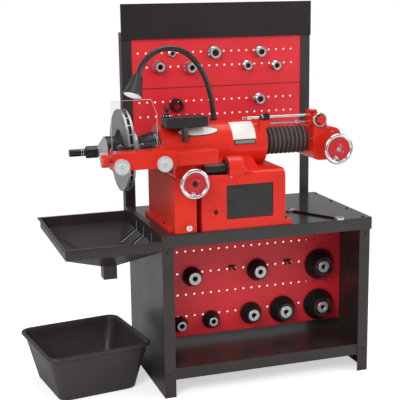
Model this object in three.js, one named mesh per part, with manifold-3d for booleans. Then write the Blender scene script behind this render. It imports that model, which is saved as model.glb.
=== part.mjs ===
// Brake lathe on its steel work bench. Millimetres, +Z up, the operator stands at -Y.
import * as THREE from 'three';
import { mergeVertices } from 'three/addons/utils/BufferGeometryUtils.js';
import Module from 'manifold-3d';

const wasm = await Module();
wasm.setup();

// Clearances and facets
const gap = 0.3;
const runningGap = 0.5;
const overrun = 6;
const roundSides = 28;
const smallSides = 16;
const hexSides = 6;
const scallopSides = 10;
const rimPoints = 10;

// Bench table and its two side panels
const tableHeight = 660;
const tableWidth = 888;
const tableFront = -9;
const tableBack = 545;
const tableSkirt = 50;
const sheet = 3;
const panelDepth = 520;
const flangeWidth = 46;
const panelOuter = tableWidth / 2 - sheet - gap;
const panelInner = panelOuter - sheet - gap;

// Shelf and lower pegboard
const shelfBottom = 71;
const shelfTop = 118;
const shelfDepth = 396;
const shelfRearLip = 22;
const lowerBoardY = 265;
const lowerBoardBottom = 147;
const boardSheet = 2.5;
const boardFold = 14;

// Rear frame with its header and two pegboards
const frameWidth = 858;
const frameShift = -15;
const frameFlange = 44;
const frameWall = 3;
const headerRise = 858;
const headerTop = tableHeight + headerRise;
const frameDrop = 116;
const frameTop = headerTop - frameDrop;
const headerHeight = 147;
const headerDepth = 10;
const upperBoardRise = 504;
const upperBoardBottom = tableHeight + upperBoardRise;
const middleBoardRise = 293;
const middleBoardBottom = tableHeight + middleBoardRise;
const frameFront = tableBack + gap;
const boardHalf = frameWidth / 2 - frameWall - gap;

// Chip hopper hung on the left edge of the table
const hopperReach = 371;
const hopperFront = -22;
const hopperDrop = 15;
const hopperRim = tableHeight - hopperDrop;
const hopperRimWidth = 11;
const hopperSide = 42;
const hopperWall = 2.5;
const hopperLap = 19;
const spoutX = -605;
const spoutY = 200;
const spoutSize = 54;
const funnelDepth = 133;
const spoutTop = hopperRim - funnelDepth;
const spoutDrop = 187;
const spoutBottom = hopperRim - spoutDrop;

// Chip bin on the floor under the spout
const binX = -697;
const binY = 282;
const binTurn = 8 * Math.PI / 180;
const binWidth = 432;
const binDepth = 420;
const binHeight = 200;
const binBaseWidth = 322;
const binBaseDepth = 318;
const binWall = 3.5;
const binRim = 13;
const binRimHeight = 16;

// Lathe: base casting and spindle housing
const spindleY = 200;
const spindleRise = 306;
const spindleZ = tableHeight + spindleRise;
const baseLeft = -279;
const baseRight = 66;
const baseBack = 388;
const baseHeight = 224;
const baseShoulder = tableHeight + baseHeight;
const baseEdge = 30;
const baseRoof = 46;
const hollowTop = baseShoulder - baseRoof;
const baseNeckY = 116;
const neckDrop = 40;
const baseNeckZ = spindleZ - neckDrop;
const baseNeckRight = -32;
const footPadWidth = 28;
const footPadDepth = 66;
const footPadHeight = 20;
const castWall = 12;
const housingRadius = 93;
const housingBore = 70;
const housingLeft = -397;
const housingRight = 35;
const endWall = 34;
const reliefRise = 5;
const slideRelief = baseShoulder + reliefRise;
const coverLeft = -178;
const coverRight = 15;
const coverRise = 41;
const coverBottom = tableHeight + coverRise;
const coverHeight = 133;
const coverTop = coverBottom + coverHeight;
const coverSheet = 3;
const coverRecess = 2;
const recessRadius = 40;
const recessEnd = -165;
const recessWall = 8;
const recessCap = 60;
const padLeft = -332;
const padRight = -290;
const padFront = 150;

// Drive inside the base
const motorRadius = 62;
const motorLength = 150;
const motorX = -198;
const motorRise = 82;
const motorAxisZ = tableHeight + motorRise;
const motorFootHeight = 16;
const motorFootWidth = 110;
const motorShaftRadius = 9;
const pulleyX = -252;
const pulleyWidth = 26;
const motorPulleyRadius = 27;
const spindlePulleyRadius = 58;
const beltThickness = 6;
const beltWidth = 14;

// Spindle, its nose and the feed carriage
const spindleRadius = 22;
const noseRadius = 64;
const noseLeft = -476;
const noseSmall = 46;
const noseCollar = 22;
const noseRight = housingLeft - gap;
const arborRadius = 14;
const arborTip = -744;
const spindleRight = 262;
const ramRadius = 31;
const ramLeft = -60;
const bellowsRadius = 56;
const bellowsInner = 39;
const bellowsFolds = 10;
const bellowsCuff = 6;

// Rotor and the adapters that clamp it on the arbor
const rotorRadius = 159;
const rotorLeft = -548;
const rotorPlate = 8;
const rotorThickness = 28;
const rotorFaceInner = 82;
const rotorHatRadius = 68;
const rotorHatDepth = 34;
const rotorHatWall = 7;
const vaneCount = 24;
const vaneWidth = 5;
const bellRadius = 57;
const bellLeft = -605;
const bellRight = -566;
const bellSkirt = 8;
const coneLeft = -632;
const coneSmall = 21;
const nutRadius = 24;
const nutLeft = -680;
const innerBellRadius = 45;

// Feed gearbox on the right, with its handwheel and rate dial
const gearLeft = 235;
const gearRight = 357;
const gearFront = 110;
const gearBack = 276;
const gearDrop = 79;
const gearBottom = spindleZ - gearDrop;
const gearRise = 53;
const gearTop = spindleZ + gearRise;
const gearCorner = 26;
const gearSlope = 30;
const gearCrown = 36;
const towerRise = 126;
const towerTop = spindleZ + towerRise;
const towerWidth = 29;
const towerNeck = 8;
const ledgeRise = 13;
const towerLedge = gearTop + ledgeRise;
const towerReach = 15;
const towerDepth = 46;
const feedWheelRadius = 63;
const crossWheelRadius = 58;
const handwheelRim = 8;
const handwheelDiscThickness = 7;
const feedWheelX = 318;
const feedWheelY = 50;
const feedWheelDrop = 28;
const feedWheelZ = spindleZ - feedWheelDrop;
const hubRadius = 13;
const crankRadius = 6.5;
const crankReach = 38;
const crankKnob = 22;
const crankEndShare = 0.8;
const crankNeckShare = 0.7;
const rateX = 250;
const rateRise = 90;
const rateZ = spindleZ + rateRise;
const rateFront = 78;
const rateDialRadius = 29;
const rateDialDepth = 12;
const rateKnobRadius = 17;
const rateKnobDepth = 20;
const scallopCount = 8;
const scallopRadius = 5;

// Trip rods, and their block on the housing's lug
const tripY = 136;
const tripRodRise = 105;
const tripRodZ = spindleZ + tripRodRise;
const tripRodRadius = 6;
const tripRodLeft = -62;
const stopRodDrop = 26;
const stopRodZ = tripRodZ - stopRodDrop;
const stopRodRadius = 4;
const stopRodLeft = 20;
const stopCollarX = 162;
const stopCollarRadius = 9;
const stopCollarLength = 12;
const blockLeft = 29;
const blockRight = 50;
const lugLeft = 9;
const lugDrop = 12;
const lugBottom = stopRodZ - lugDrop;
const blockDrop = 11;
const blockBottom = tripRodZ - blockDrop;
const blockRise = 13;
const blockTop = tripRodZ + blockRise;
const blockDepth = 30;

// Cross feed column, slide, screw and handwheel
const columnLeft = -388;
const columnRight = -300;
const columnBack = 372;
const columnHeight = 214;
const columnTop = tableHeight + columnHeight;
const troughDepth = 36;
const troughFloor = columnTop - troughDepth;
const columnWall = 20;
const footReach = 14;
const footHeight = 14;
const screwX = -326;
const screwDrop = 11;
const screwZ = columnTop - screwDrop;
const screwRadius = 7;
const screwEnd = 330;
const nutFront = 52;
const nutLength = 98;
const slideSide = 4;
const slidePlateRise = 14;
const slidePlateTop = columnTop + slidePlateRise;
const slideBack = 26;
const slideBlockLeft = -455;
const slideBlockRight = -222;
const slideBlockDrop = 37;
const slideBlockBottom = spindleZ - slideBlockDrop;
const slideBlockRise = 15;
const slideBlockTop = spindleZ + slideBlockRise;
const slideBlockShoulder = -389;
const crossWheelY = -64;

// Twin cutter
const cutterLeft = -645;
const cutterRight = -412;
const cutterFront = -112;
const cutterBack = -40;
const cutterDrop = 26;
const cutterBottom = spindleZ - cutterDrop;
const cutterRise = 37;
const cutterTop = spindleZ + cutterRise;
const dialRadius = 28.5;
const dialDepth = 14;
const dialDrop = 9;
const dialZ = spindleZ - dialDrop;
const leftDialX = -617;
const rightDialX = -458;
const dialHub = 9;
const dialBoss = 6;
const holderWidth = 34;
const holderHeight = 30;
const holderInset = 36;
const holderSeat = 18;
const rimClearance = 3;
const toolWidth = 9;
const toolStandoff = 4;
const endKnobRadius = 24;
const endKnobLength = 26;
const endKnobStand = 9;
const endKnobRise = 8;
const endKnobZ = spindleZ + endKnobRise;
const endKnobY = -76;

// Clear guard over the cutter
const guardLeft = -636;
const guardRight = -465;
const guardFront = -60;
const guardHeight = 183;
const guardTop = cutterTop + guardHeight;
const guardCut = 54;
const guardCutWidth = 20;
const guardSheet = 3;
const guardPin = 4;
const guardLug = 6;
const guardLugWall = 3;

// Boring bar with its clamp and knob
const barLeft = -385;
const barRight = -219;
const barFront = 88;
const barBack = 178;
const barRise = 88;
const barBottom = spindleZ + barRise;
const barHeight = 39;
const barTop = barBottom + barHeight;
const clampX = -311;
const clampY = 100;
const clampRadius = 13;
const clampDrop = 54;
const knobX = -372;
const knobCollar = 20;
const knobCollarHeight = 12;
const knobBall = 11.5;
const knobNeck = 8;

// Work lamp on its gooseneck
const lampBaseX = -150;
const lampBaseY = 228;
const lampSwanX = -457;
const lampSwanRise = 284;
const lampSwanZ = spindleZ + lampSwanRise;
const lampLift = 350;
const lampDrop = 146;
const lampLean = 18;
const lampEndLean = 60;
const lampFaceLean = 54;
const neckRadius = 11;
const neckSides = 12;
const neckSteps = 26;
const lampBossRadius = 18;
const lampBossHeight = 4;
const lampCollarRadius = 15;
const lampCollarHeight = 10;
const shadeTop = 19;
const shadeRadius = 39;
const shadeLength = 88;
const shadeWall = 2.5;
const lensRecess = 3;

// Small parts
const sleeveRadius = 22;
const sleeveLeft = -256;
const sleeveFlange = 38;
const sleeveFlangeDepth = 6;
const sleeveY = 45;
const sleeveDrop = 73;
const sleeveZ = spindleZ - sleeveDrop;
const pinRadius = 12;
const pinLength = 46;
const pinX = -344;
const pinRise = 30;
const pinZ = tableHeight + pinRise;
const pinSocket = 5;
const pinSocketDepth = 9;
const wrenchLength = 286;
const wrenchWidth = 15;
const wrenchThickness = 7;
const wrenchX = 242;
const wrenchY = 108;
const wrenchTurn = -60 * Math.PI / 180;
const wrenchHead = 21;
const wrenchRing = 18;
const wrenchMouth = 17;
const wrenchBore = 10;

// Adapters on the boards, as shares: place across and up their board, radius and depth
const adapterSize = 68;
const adapterLip = 6;
const adapterSides = 24;
const adapterFaceShare = 0.68;
const adapterConeShare = 0.45;
const adapterRimShare = 0.25;
const lowerAdapterShares = [
  ['cone_adapter_1', -0.5487, 0.5101, 0.6029, 0.6765],
  ['cone_adapter_2', 0.112, 0.5101, 0.6765, 0.7059],
  ['bell_adapter_1', 0.7682, 0.5023, 0.9706, 0.8529],
  ['cone_adapter_3', -0.6813, 0.1158, 0.4853, 0.5882],
  ['cone_adapter_4', -0.3658, 0.1256, 0.5588, 0.6471],
  ['cone_adapter_5', 0.0434, 0.1413, 0.6912, 0.7059],
  ['bell_adapter_2', 0.3749, 0.1413, 0.8529, 0.7941],
  ['bell_adapter_3', 0.7613, 0.1491, 1.0, 0.8824],
];
const upperAdapterShares = [
  ['small_adapter_1', -0.6342, 0.4396, 0.4706, 0.5882],
  ['small_adapter_2', -0.3054, 0.401, 0.4706, 0.5882],
];

// Finishes
const material = (color, roughness, metalness) =>
  new THREE.MeshStandardMaterial({ color, roughness, metalness });
const blackPaint = material(0x16171a, 0.35, 0.2);
const redPaint = material(0xd8241f, 0.4, 0.1);
const chrome = material(0xdfe2e4, 0.15, 1);
const steel = material(0xa7abad, 0.4, 1);
const darkSteel = material(0x3b3d40, 0.45, 0.8);
const castIron = material(0x75777a, 0.5, 0.8);
const rubber = material(0x1b1b1c, 0.8, 0);
const dialFinish = material(0xe9eaea, 0.4, 0.3);
const binPlastic = material(0x1c1d20, 0.55, 0);
const clearPlastic = material(0xdfe6ea, 0.1, 0);

// Geometry to solid and back
function solid(geometry) {
  const bare = geometry.clone();
  bare.deleteAttribute('normal');
  bare.deleteAttribute('uv');
  const merged = mergeVertices(bare);
  return new wasm.Manifold(new wasm.Mesh({
    numProp: 3,
    vertProperties: new Float32Array(merged.attributes.position.array),
    triVerts: new Uint32Array(merged.index.array),
  }));
}

function toGeometry(body) {
  const { vertProperties, triVerts } = body.getMesh();
  const geometry = new THREE.BufferGeometry();
  geometry.setAttribute('position', new THREE.BufferAttribute(new Float32Array(vertProperties), 3));
  geometry.setIndex(new THREE.BufferAttribute(new Uint32Array(triVerts), 1));
  const flat = geometry.toNonIndexed();
  flat.computeVertexNormals();
  return flat;
}

const machine = new THREE.Group();

function piece(name, body, finishOf) {
  const mesh = new THREE.Mesh(toGeometry(body), finishOf);
  mesh.name = name;
  machine.add(mesh);
}

// Solids placed by their limits or their axis
function block(x0, x1, y0, y1, z0, z1) {
  const box = new THREE.BoxGeometry(x1 - x0, y1 - y0, z1 - z0);
  box.translate((x0 + x1) / 2, (y0 + y1) / 2, (z0 + z1) / 2);
  return solid(box);
}

function rodX(radius, x0, x1, y, z, sides = roundSides) {
  const rod = new THREE.CylinderGeometry(radius, radius, x1 - x0, sides);
  rod.rotateZ(-Math.PI / 2);
  rod.translate((x0 + x1) / 2, y, z);
  return solid(rod);
}

function rodY(radius, y0, y1, x, z, sides = roundSides) {
  const rod = new THREE.CylinderGeometry(radius, radius, y1 - y0, sides);
  rod.translate(x, (y0 + y1) / 2, z);
  return solid(rod);
}

function rodZ(radius, z0, z1, x, y, sides = roundSides) {
  const rod = new THREE.CylinderGeometry(radius, radius, z1 - z0, sides);
  rod.rotateX(Math.PI / 2);
  rod.translate(x, y, (z0 + z1) / 2);
  return solid(rod);
}

// A turned piece: profile points are [radius, distance along the axis]
function turned(points, sides = roundSides) {
  return new THREE.LatheGeometry(points.map(([r, h]) => new THREE.Vector2(r, h)), sides);
}

function turnedX(points, y = spindleY, z = spindleZ, sides = roundSides) {
  const geometry = turned(points, sides);
  geometry.rotateZ(-Math.PI / 2);
  geometry.translate(0, y, z);
  return solid(geometry);
}

function turnedY(points, x, y, z, sides = roundSides) {
  const geometry = turned(points, sides);
  geometry.translate(x, y, z);
  return solid(geometry);
}

// An outline drawn in X and Z, extruded along Y from y0 to y1
function plateY(shape, y0, y1) {
  const geometry = new THREE.ExtrudeGeometry(shape, { depth: y1 - y0, bevelEnabled: false });
  geometry.rotateX(Math.PI / 2);
  geometry.translate(0, y1, 0);
  return solid(geometry);
}

// An outline drawn in Y and Z, extruded along X from x0 to x1
function plateX(shape, x0, x1) {
  const geometry = new THREE.ExtrudeGeometry(shape, { depth: x1 - x0, bevelEnabled: false });
  geometry.rotateX(Math.PI / 2);
  geometry.rotateZ(Math.PI / 2);
  geometry.translate(x0, 0, 0);
  return solid(geometry);
}

function outline(points) {
  return new THREE.Shape(points.map(([a, b]) => new THREE.Vector2(a, b)));
}

// A closed solid between two level rectangles, each { x0, x1, y0, y1, z }
function tapered(low, high) {
  const corners = [];
  for (const level of [low, high]) {
    corners.push(level.x0, level.y0, level.z, level.x1, level.y0, level.z);
    corners.push(level.x1, level.y1, level.z, level.x0, level.y1, level.z);
  }
  const geometry = new THREE.BufferGeometry();
  geometry.setAttribute('position', new THREE.BufferAttribute(new Float32Array(corners), 3));
  const faces = [0, 2, 1, 0, 3, 2, 4, 5, 6, 4, 6, 7];
  for (let side = 0; side < 4; side += 1) {
    const next = (side + 1) % 4;
    faces.push(side, next, next + 4, side, next + 4, side + 4);
  }
  geometry.setIndex(faces);
  return solid(geometry);
}

function union(...bodies) {
  return bodies.reduce((whole, body) => whole.add(body));
}

// Bench: table top, side panels, shelf and lower pegboard
function tableTop() {
  const half = tableWidth / 2;
  const pocket = block(sheet - half, half - sheet, tableFront + sheet, tableBack - sheet,
    tableHeight - tableSkirt - overrun, tableHeight - sheet);
  return block(-half, half, tableFront, tableBack, tableHeight - tableSkirt, tableHeight)
    .subtract(pocket);
}

function sidePanel(side) {
  const outer = block(panelOuter - flangeWidth, panelOuter, 0, panelDepth,
    0, tableHeight - sheet - gap);
  const inside = block(panelOuter - flangeWidth - overrun, panelOuter - sheet,
    sheet, panelDepth - sheet, -overrun, tableHeight);
  const panel = outer.subtract(inside);
  return side > 0 ? panel : panel.mirror([1, 0, 0]);
}

function bottomShelf() {
  const front = sheet + gap;
  const tray = block(-panelInner, panelInner, front, front + shelfDepth, shelfBottom, shelfTop);
  const under = block(sheet - panelInner, panelInner - sheet, front + sheet,
    front + shelfDepth - sheet, shelfBottom - overrun, shelfTop - sheet);
  const lip = block(-panelInner, panelInner, front + shelfDepth - sheet, front + shelfDepth,
    shelfTop - sheet, shelfTop + shelfRearLip);
  return tray.subtract(under).add(lip);
}

function lowerPegboard() {
  const top = tableHeight - sheet - gap;
  const face = block(-panelInner, panelInner, lowerBoardY, lowerBoardY + boardSheet,
    lowerBoardBottom, top);
  const fold = block(-panelInner, panelInner, lowerBoardY, lowerBoardY + boardFold,
    lowerBoardBottom, lowerBoardBottom + boardSheet);
  return face.add(fold);
}

piece('table_top', tableTop(), blackPaint);
piece('left_side_panel', sidePanel(-1), blackPaint);
piece('right_side_panel', sidePanel(1), blackPaint);
piece('bottom_shelf', bottomShelf(), blackPaint);
piece('lower_pegboard', lowerPegboard(), redPaint);

// Rear frame: two angle posts, a header pan and two pegboards behind the posts' flanges
function upright(side) {
  const outer = frameWidth / 2;
  const foot = tableHeight - tableSkirt;
  const flange = block(outer - frameFlange, outer, frameFront, frameFront + frameWall, foot,
    frameTop);
  const web = block(outer - frameWall, outer, frameFront, frameFront + frameFlange, foot,
    frameTop);
  const post = flange.add(web);
  return (side > 0 ? post : post.mirror([1, 0, 0])).translate([frameShift, 0, 0]);
}

function headerPanel() {
  const half = frameWidth / 2;
  const front = frameFront - gap - headerDepth;
  const pan = block(-half, half, front, front + headerDepth, headerTop - headerHeight, headerTop);
  const back = block(sheet - half, half - sheet, front + sheet, front + headerDepth + overrun,
    headerTop - headerHeight + sheet, headerTop - sheet);
  return pan.subtract(back).translate([frameShift, 0, 0]);
}

function frameBoard(bottom, top) {
  const front = frameFront + frameWall + gap;
  return block(frameShift - boardHalf, frameShift + boardHalf, front, front + boardSheet,
    bottom, top);
}

piece('left_upright', upright(-1), blackPaint);
piece('right_upright', upright(1), blackPaint);
piece('header_panel', headerPanel(), blackPaint);
piece('upper_pegboard', frameBoard(upperBoardBottom + gap, headerTop - headerHeight), redPaint);
piece('middle_pegboard', frameBoard(middleBoardBottom, upperBoardBottom), redPaint);

// Chip hopper: a shallow tray with a sloped floor down to a square spout
function hopperShell(inset) {
  const right = -tableWidth / 2 - gap - inset;
  const left = -tableWidth / 2 - gap - hopperReach + inset;
  const front = hopperFront + inset;
  const back = tableBack - inset;
  const floor = hopperRim - hopperSide;
  const halfSpout = spoutSize / 2 - inset;
  const rimTop = hopperRim + Math.sign(inset) * overrun;
  const spoutEnd = spoutBottom - Math.sign(inset) * overrun;
  const tray = { x0: left, x1: right, y0: front, y1: back };
  const mouth = { x0: spoutX - halfSpout, x1: spoutX + halfSpout,
    y0: spoutY - halfSpout, y1: spoutY + halfSpout };
  return union(
    block(left, right, front, back, floor, rimTop),
    tapered({ ...mouth, z: spoutTop }, { ...tray, z: floor }),
    block(mouth.x0, mouth.x1, mouth.y0, mouth.y1, spoutEnd, spoutTop),
  );
}

function chipHopper() {
  const right = -tableWidth / 2 - gap;
  const left = right - hopperReach;
  const rim = block(left - hopperRimWidth, right, hopperFront - hopperRimWidth,
    tableBack + hopperRimWidth, hopperRim - hopperWall, hopperRim);
  const lapTop = tableHeight + gap + hopperWall;
  const riser = block(right - hopperWall, right, tableFront, tableBack, hopperRim - hopperSide,
    lapTop);
  const lap = block(right - hopperWall, right + hopperLap, tableFront, tableBack,
    tableHeight + gap, lapTop);
  const shell = hopperShell(0).add(rim).subtract(hopperShell(hopperWall));
  return union(shell, riser, lap);
}

// Chip bin: a tapered tote with a rolled rim
function binShell(inset, bottom, top) {
  const width = binWidth / 2 - inset;
  const depth = binDepth / 2 - inset;
  const baseWidth = binBaseWidth / 2 - inset;
  const baseDepth = binBaseDepth / 2 - inset;
  return tapered(
    { x0: -baseWidth, x1: baseWidth, y0: -baseDepth, y1: baseDepth, z: bottom },
    { x0: -width, x1: width, y0: -depth, y1: depth, z: top },
  );
}

function chipBin() {
  const halfWidth = binWidth / 2;
  const halfDepth = binDepth / 2;
  const rim = block(-halfWidth, halfWidth, -halfDepth, halfDepth, binHeight - binRimHeight,
    binHeight);
  const tub = binShell(binRim, gap, binHeight);
  const inside = binShell(binRim + binWall, gap + binWall, binHeight + gap);
  return tub.add(rim).subtract(inside)
    .rotate([0, 0, binTurn * 180 / Math.PI]).translate([binX, binY, 0]);
}

piece('chip_hopper', chipHopper(), blackPaint);
piece('chip_bin', chipBin(), binPlastic);

// Base casting: hollow base with foot pads, neck, spindle housing, bar pad and rod lug
function baseProfile() {
  const low = tableHeight + gap;
  const round = baseShoulder - baseEdge;
  const shape = new THREE.Shape();
  shape.moveTo(0, low);
  shape.lineTo(baseBack, low);
  shape.absarc(baseBack - baseEdge, round, baseEdge, 0, Math.PI / 2, false);
  shape.absarc(baseEdge, round, baseEdge, Math.PI / 2, Math.PI, false);
  shape.closePath();
  return shape;
}

function neckProfile() {
  return outline([[baseEdge, spindleZ - housingRadius], [baseBack - baseEdge,
    spindleZ - housingRadius], [baseBack - baseEdge, baseShoulder],
  [2 * spindleY - baseNeckY, baseNeckZ], [baseNeckY, baseNeckZ], [baseEdge, baseShoulder]]);
}

function footPad(front) {
  const low = tableHeight + gap;
  return block(baseRight - castWall, baseRight + footPadWidth, front, front + footPadDepth,
    low, low + footPadHeight);
}

const lampBossTop = spindleZ + Math.sqrt(housingRadius ** 2 - (lampBaseY - spindleY) ** 2)
  + lampBossHeight;

function baseCasting() {
  const floorOfSleeve = rodX(recessRadius, baseLeft - overrun, recessEnd, sleeveY, sleeveZ);
  const outer = union(
    plateX(baseProfile(), baseLeft, baseRight),
    plateX(neckProfile(), baseLeft, baseNeckRight),
    footPad(0),
    footPad(baseBack - footPadDepth),
    block(lugLeft, housingRight, tripY - blockDepth / 2, tripY + blockDepth / 2, spindleZ,
      blockBottom - gap),
    block(blockLeft, blockRight, tripY - blockDepth / 2, tripY + blockDepth / 2, lugBottom,
      blockBottom - gap),
    rodX(housingRadius, housingLeft, housingRight, spindleY, spindleZ),
    rodX(recessRadius + recessWall, recessEnd, recessEnd + recessCap, sleeveY, sleeveZ),
    block(padLeft, padRight, padFront, spindleY, spindleZ, barBottom - gap),
    rodZ(lampBossRadius, spindleZ, lampBossTop, lampBaseX, lampBaseY),
  );
  const beltWay = block(pulleyX - beltWidth, pulleyX + beltWidth,
    spindleY - spindlePulleyRadius - castWall, spindleY + spindlePulleyRadius + castWall,
    hollowTop - overrun, spindleZ);
  const inner = union(
    block(baseLeft + castWall, baseRight - castWall, castWall, baseBack - castWall,
      tableHeight - overrun, hollowTop),
    rodX(housingBore, housingLeft + endWall, housingRight - endWall, spindleY, spindleZ),
    beltWay,
  );
  const relief = block(housingLeft - overrun, baseLeft - castWall, 0, baseBack,
    tableHeight, slideRelief);
  const window = block(coverLeft + castWall, coverRight - castWall, -overrun,
    castWall + overrun, coverBottom + castWall, coverTop - castWall);
  const rebate = block(coverLeft - gap, coverRight + gap, -overrun, coverRecess + coverSheet + gap,
    coverBottom - gap, coverTop + gap);
  const leftBore = rodX(spindleRadius + runningGap, housingLeft - overrun,
    housingLeft + endWall + overrun, spindleY, spindleZ);
  const rightBore = rodX(ramRadius + runningGap, housingRight - endWall - overrun,
    housingRight + overrun, spindleY, spindleZ);
  const rodBore = rodX(stopRodRadius + runningGap, lugLeft - overrun, blockRight + overrun,
    tripY, stopRodZ, smallSides);
  return outer.subtract(floorOfSleeve).subtract(inner).subtract(relief).subtract(window)
    .subtract(rebate).subtract(leftBore).subtract(rightBore).subtract(rodBore);
}

function accessCover() {
  return block(coverLeft, coverRight, coverRecess, coverRecess + coverSheet,
    coverBottom, coverTop);
}

piece('base_casting', baseCasting(), redPaint);
piece('access_cover', accessCover(), blackPaint);

// Motor, pulleys and belt
function motor() {
  const foot = block(motorX, motorX + motorLength, spindleY - motorFootWidth / 2,
    spindleY + motorFootWidth / 2, tableHeight + gap, tableHeight + gap + motorFootHeight);
  const barrel = rodX(motorRadius, motorX, motorX + motorLength, spindleY, motorAxisZ);
  const web = block(motorX, motorX + motorLength, spindleY - motorFootWidth / 4,
    spindleY + motorFootWidth / 4, tableHeight + gap, motorAxisZ);
  return union(foot, barrel, web);
}

function pulley(radius, bore, z, shaftEnd) {
  const half = pulleyWidth / 2;
  const groove = beltWidth / 2 + gap;
  const deep = radius - beltThickness;
  const outer = turnedX([
    [0, pulleyX - half], [radius, pulleyX - half], [radius, pulleyX - groove],
    [deep, pulleyX - groove], [deep, pulleyX + groove], [radius, pulleyX + groove],
    [radius, pulleyX + half], [0, pulleyX + half],
  ], spindleY, z);
  if (bore > 0) {
    return outer.subtract(rodX(bore, pulleyX - half - overrun, pulleyX + half + overrun,
      spindleY, z));
  }
  return outer.add(rodX(motorShaftRadius, pulleyX, shaftEnd, spindleY, z, smallSides));
}

function beltLoop(grow) {
  const low = motorPulleyRadius - beltThickness + gap + grow;
  const high = spindlePulleyRadius - beltThickness + gap + grow;
  const rise = spindleZ - motorAxisZ;
  const lean = Math.asin((high - low) / rise);
  const shape = new THREE.Shape();
  shape.absarc(spindleY, spindleZ, high, -lean, Math.PI + lean, false);
  shape.absarc(spindleY, motorAxisZ, low, Math.PI + lean, 2 * Math.PI - lean, false);
  shape.closePath();
  return shape;
}

function driveBelt() {
  const half = beltWidth / 2;
  const outer = plateX(beltLoop(beltThickness), pulleyX - half, pulleyX + half);
  const inner = plateX(beltLoop(0), pulleyX - half - overrun, pulleyX + half + overrun);
  return outer.subtract(inner);
}

piece('motor', motor(), castIron);
piece('motor_pulley', pulley(motorPulleyRadius, 0, motorAxisZ, motorX - gap), steel);
piece('spindle_pulley', pulley(spindlePulleyRadius, spindleRadius + runningGap, spindleZ, 0),
  steel);
piece('drive_belt', driveBelt(), rubber);

// Spindle with its nose, and the arbor with what clamps the rotor
function spindle() {
  return union(
    rodX(spindleRadius, noseLeft, spindleRight, spindleY, spindleZ),
    turnedX([[0, noseLeft], [noseSmall, noseLeft], [noseRadius, noseRight - noseCollar],
      [noseRadius, noseRight], [0, noseRight]]),
    rodX(arborRadius, arborTip, noseLeft, spindleY, spindleZ),
  );
}

function hexNut() {
  const bore = rodX(arborRadius + gap, nutLeft - overrun, coneLeft + overrun, spindleY, spindleZ);
  return rodX(nutRadius, nutLeft, coneLeft - gap, spindleY, spindleZ, hexSides)
    .subtract(bore);
}

function noseCone() {
  const bore = rodX(arborRadius + gap, coneLeft - overrun, bellLeft + overrun, spindleY, spindleZ);
  return turnedX([[0, coneLeft], [coneSmall, coneLeft], [bellRadius - gap, bellLeft - gap],
    [0, bellLeft - gap]]).subtract(bore);
}

const hatRight = rotorLeft + rotorThickness + rotorHatDepth;
const hatWeb = hatRight - rotorHatWall;

function outerBell() {
  const bore = rodX(arborRadius + gap, bellLeft - overrun, hatWeb + overrun, spindleY, spindleZ);
  const neck = bellRadius / 2;
  return turnedX([[0, bellLeft], [bellRadius, bellLeft], [bellRadius, bellRight],
    [bellRadius - bellSkirt, bellRight], [neck, bellRight - bellSkirt], [neck, hatWeb - gap],
    [0, hatWeb - gap]]).subtract(bore);
}

function innerBell() {
  const bore = rodX(arborRadius + gap, hatRight - overrun, noseLeft + overrun, spindleY, spindleZ);
  return turnedX([[0, hatRight + gap], [innerBellRadius, hatRight + gap],
    [innerBellRadius, noseLeft - gap], [0, noseLeft - gap]]).subtract(bore);
}

function brakeRotor() {
  const right = rotorLeft + rotorThickness;
  const ring = (x0, x1) => turnedX([[rotorFaceInner, x0], [rotorRadius, x0], [rotorRadius, x1],
    [rotorFaceInner, x1], [rotorFaceInner, x0]], spindleY, spindleZ, 2 * roundSides);
  const rotor = [ring(rotorLeft, rotorLeft + rotorPlate), ring(right - rotorPlate, right)];
  for (let vane = 0; vane < vaneCount; vane += 1) {
    const web = block(rotorLeft + rotorPlate - gap, right - rotorPlate + gap, -vaneWidth / 2,
      vaneWidth / 2, rotorFaceInner, rotorRadius - vaneWidth);
    rotor.push(web.rotate([vane * 360 / vaneCount, 0, 0]).translate([0, spindleY, spindleZ]));
  }
  const hat = turnedX([
    [rotorFaceInner + rotorPlate, right - rotorPlate], [rotorFaceInner + rotorPlate, right],
    [rotorHatRadius, right], [rotorHatRadius, hatRight], [arborRadius + gap, hatRight],
    [arborRadius + gap, hatWeb], [rotorHatRadius - rotorHatWall, hatWeb],
    [rotorHatRadius - rotorHatWall, right - rotorPlate],
    [rotorFaceInner + rotorPlate, right - rotorPlate],
  ]);
  return union(...rotor, hat);
}

piece('spindle', spindle(), darkSteel);
piece('arbor_nut', hexNut(), darkSteel);
piece('nose_cone', noseCone(), chrome);
piece('outer_bell_clamp', outerBell(), blackPaint);
piece('inner_bell_clamp', innerBell(), blackPaint);
piece('brake_rotor', brakeRotor(), castIron);

// Bellows between the housing and the gearbox
function bellows() {
  const left = housingRight + gap;
  const right = gearLeft - gap;
  const fold = (right - left - 2 * bellowsCuff) / bellowsFolds;
  const wall = sheet;
  const outer = [[bellowsInner + wall, left], [bellowsInner + wall, left + bellowsCuff]];
  for (let turn = 0; turn < bellowsFolds; turn += 1) {
    const start = left + bellowsCuff + turn * fold;
    outer.push([bellowsRadius, start + fold / 2], [bellowsInner + wall, start + fold]);
  }
  const skin = [[0, left], ...outer, [bellowsInner + wall, right], [0, right]];
  return turnedX(skin).subtract(rodX(bellowsInner, left - overrun, right + overrun,
    spindleY, spindleZ));
}

piece('bellows', bellows(), rubber);

// Feed gearbox with its guide ram, tower and bosses
function gearOutline() {
  const shape = new THREE.Shape();
  shape.moveTo(gearLeft, gearBottom + gearSlope);
  shape.quadraticCurveTo(gearLeft, gearBottom, gearLeft + gearSlope, gearBottom);
  shape.lineTo(gearRight - gearCorner, gearBottom);
  shape.absarc(gearRight - gearCorner, gearBottom + gearCorner, gearCorner, -Math.PI / 2, 0, false);
  shape.absarc(gearRight - gearCrown, gearTop - gearCrown, gearCrown, 0, Math.PI / 2, false);
  shape.lineTo(gearLeft, gearTop);
  shape.closePath();
  return shape;
}

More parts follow.
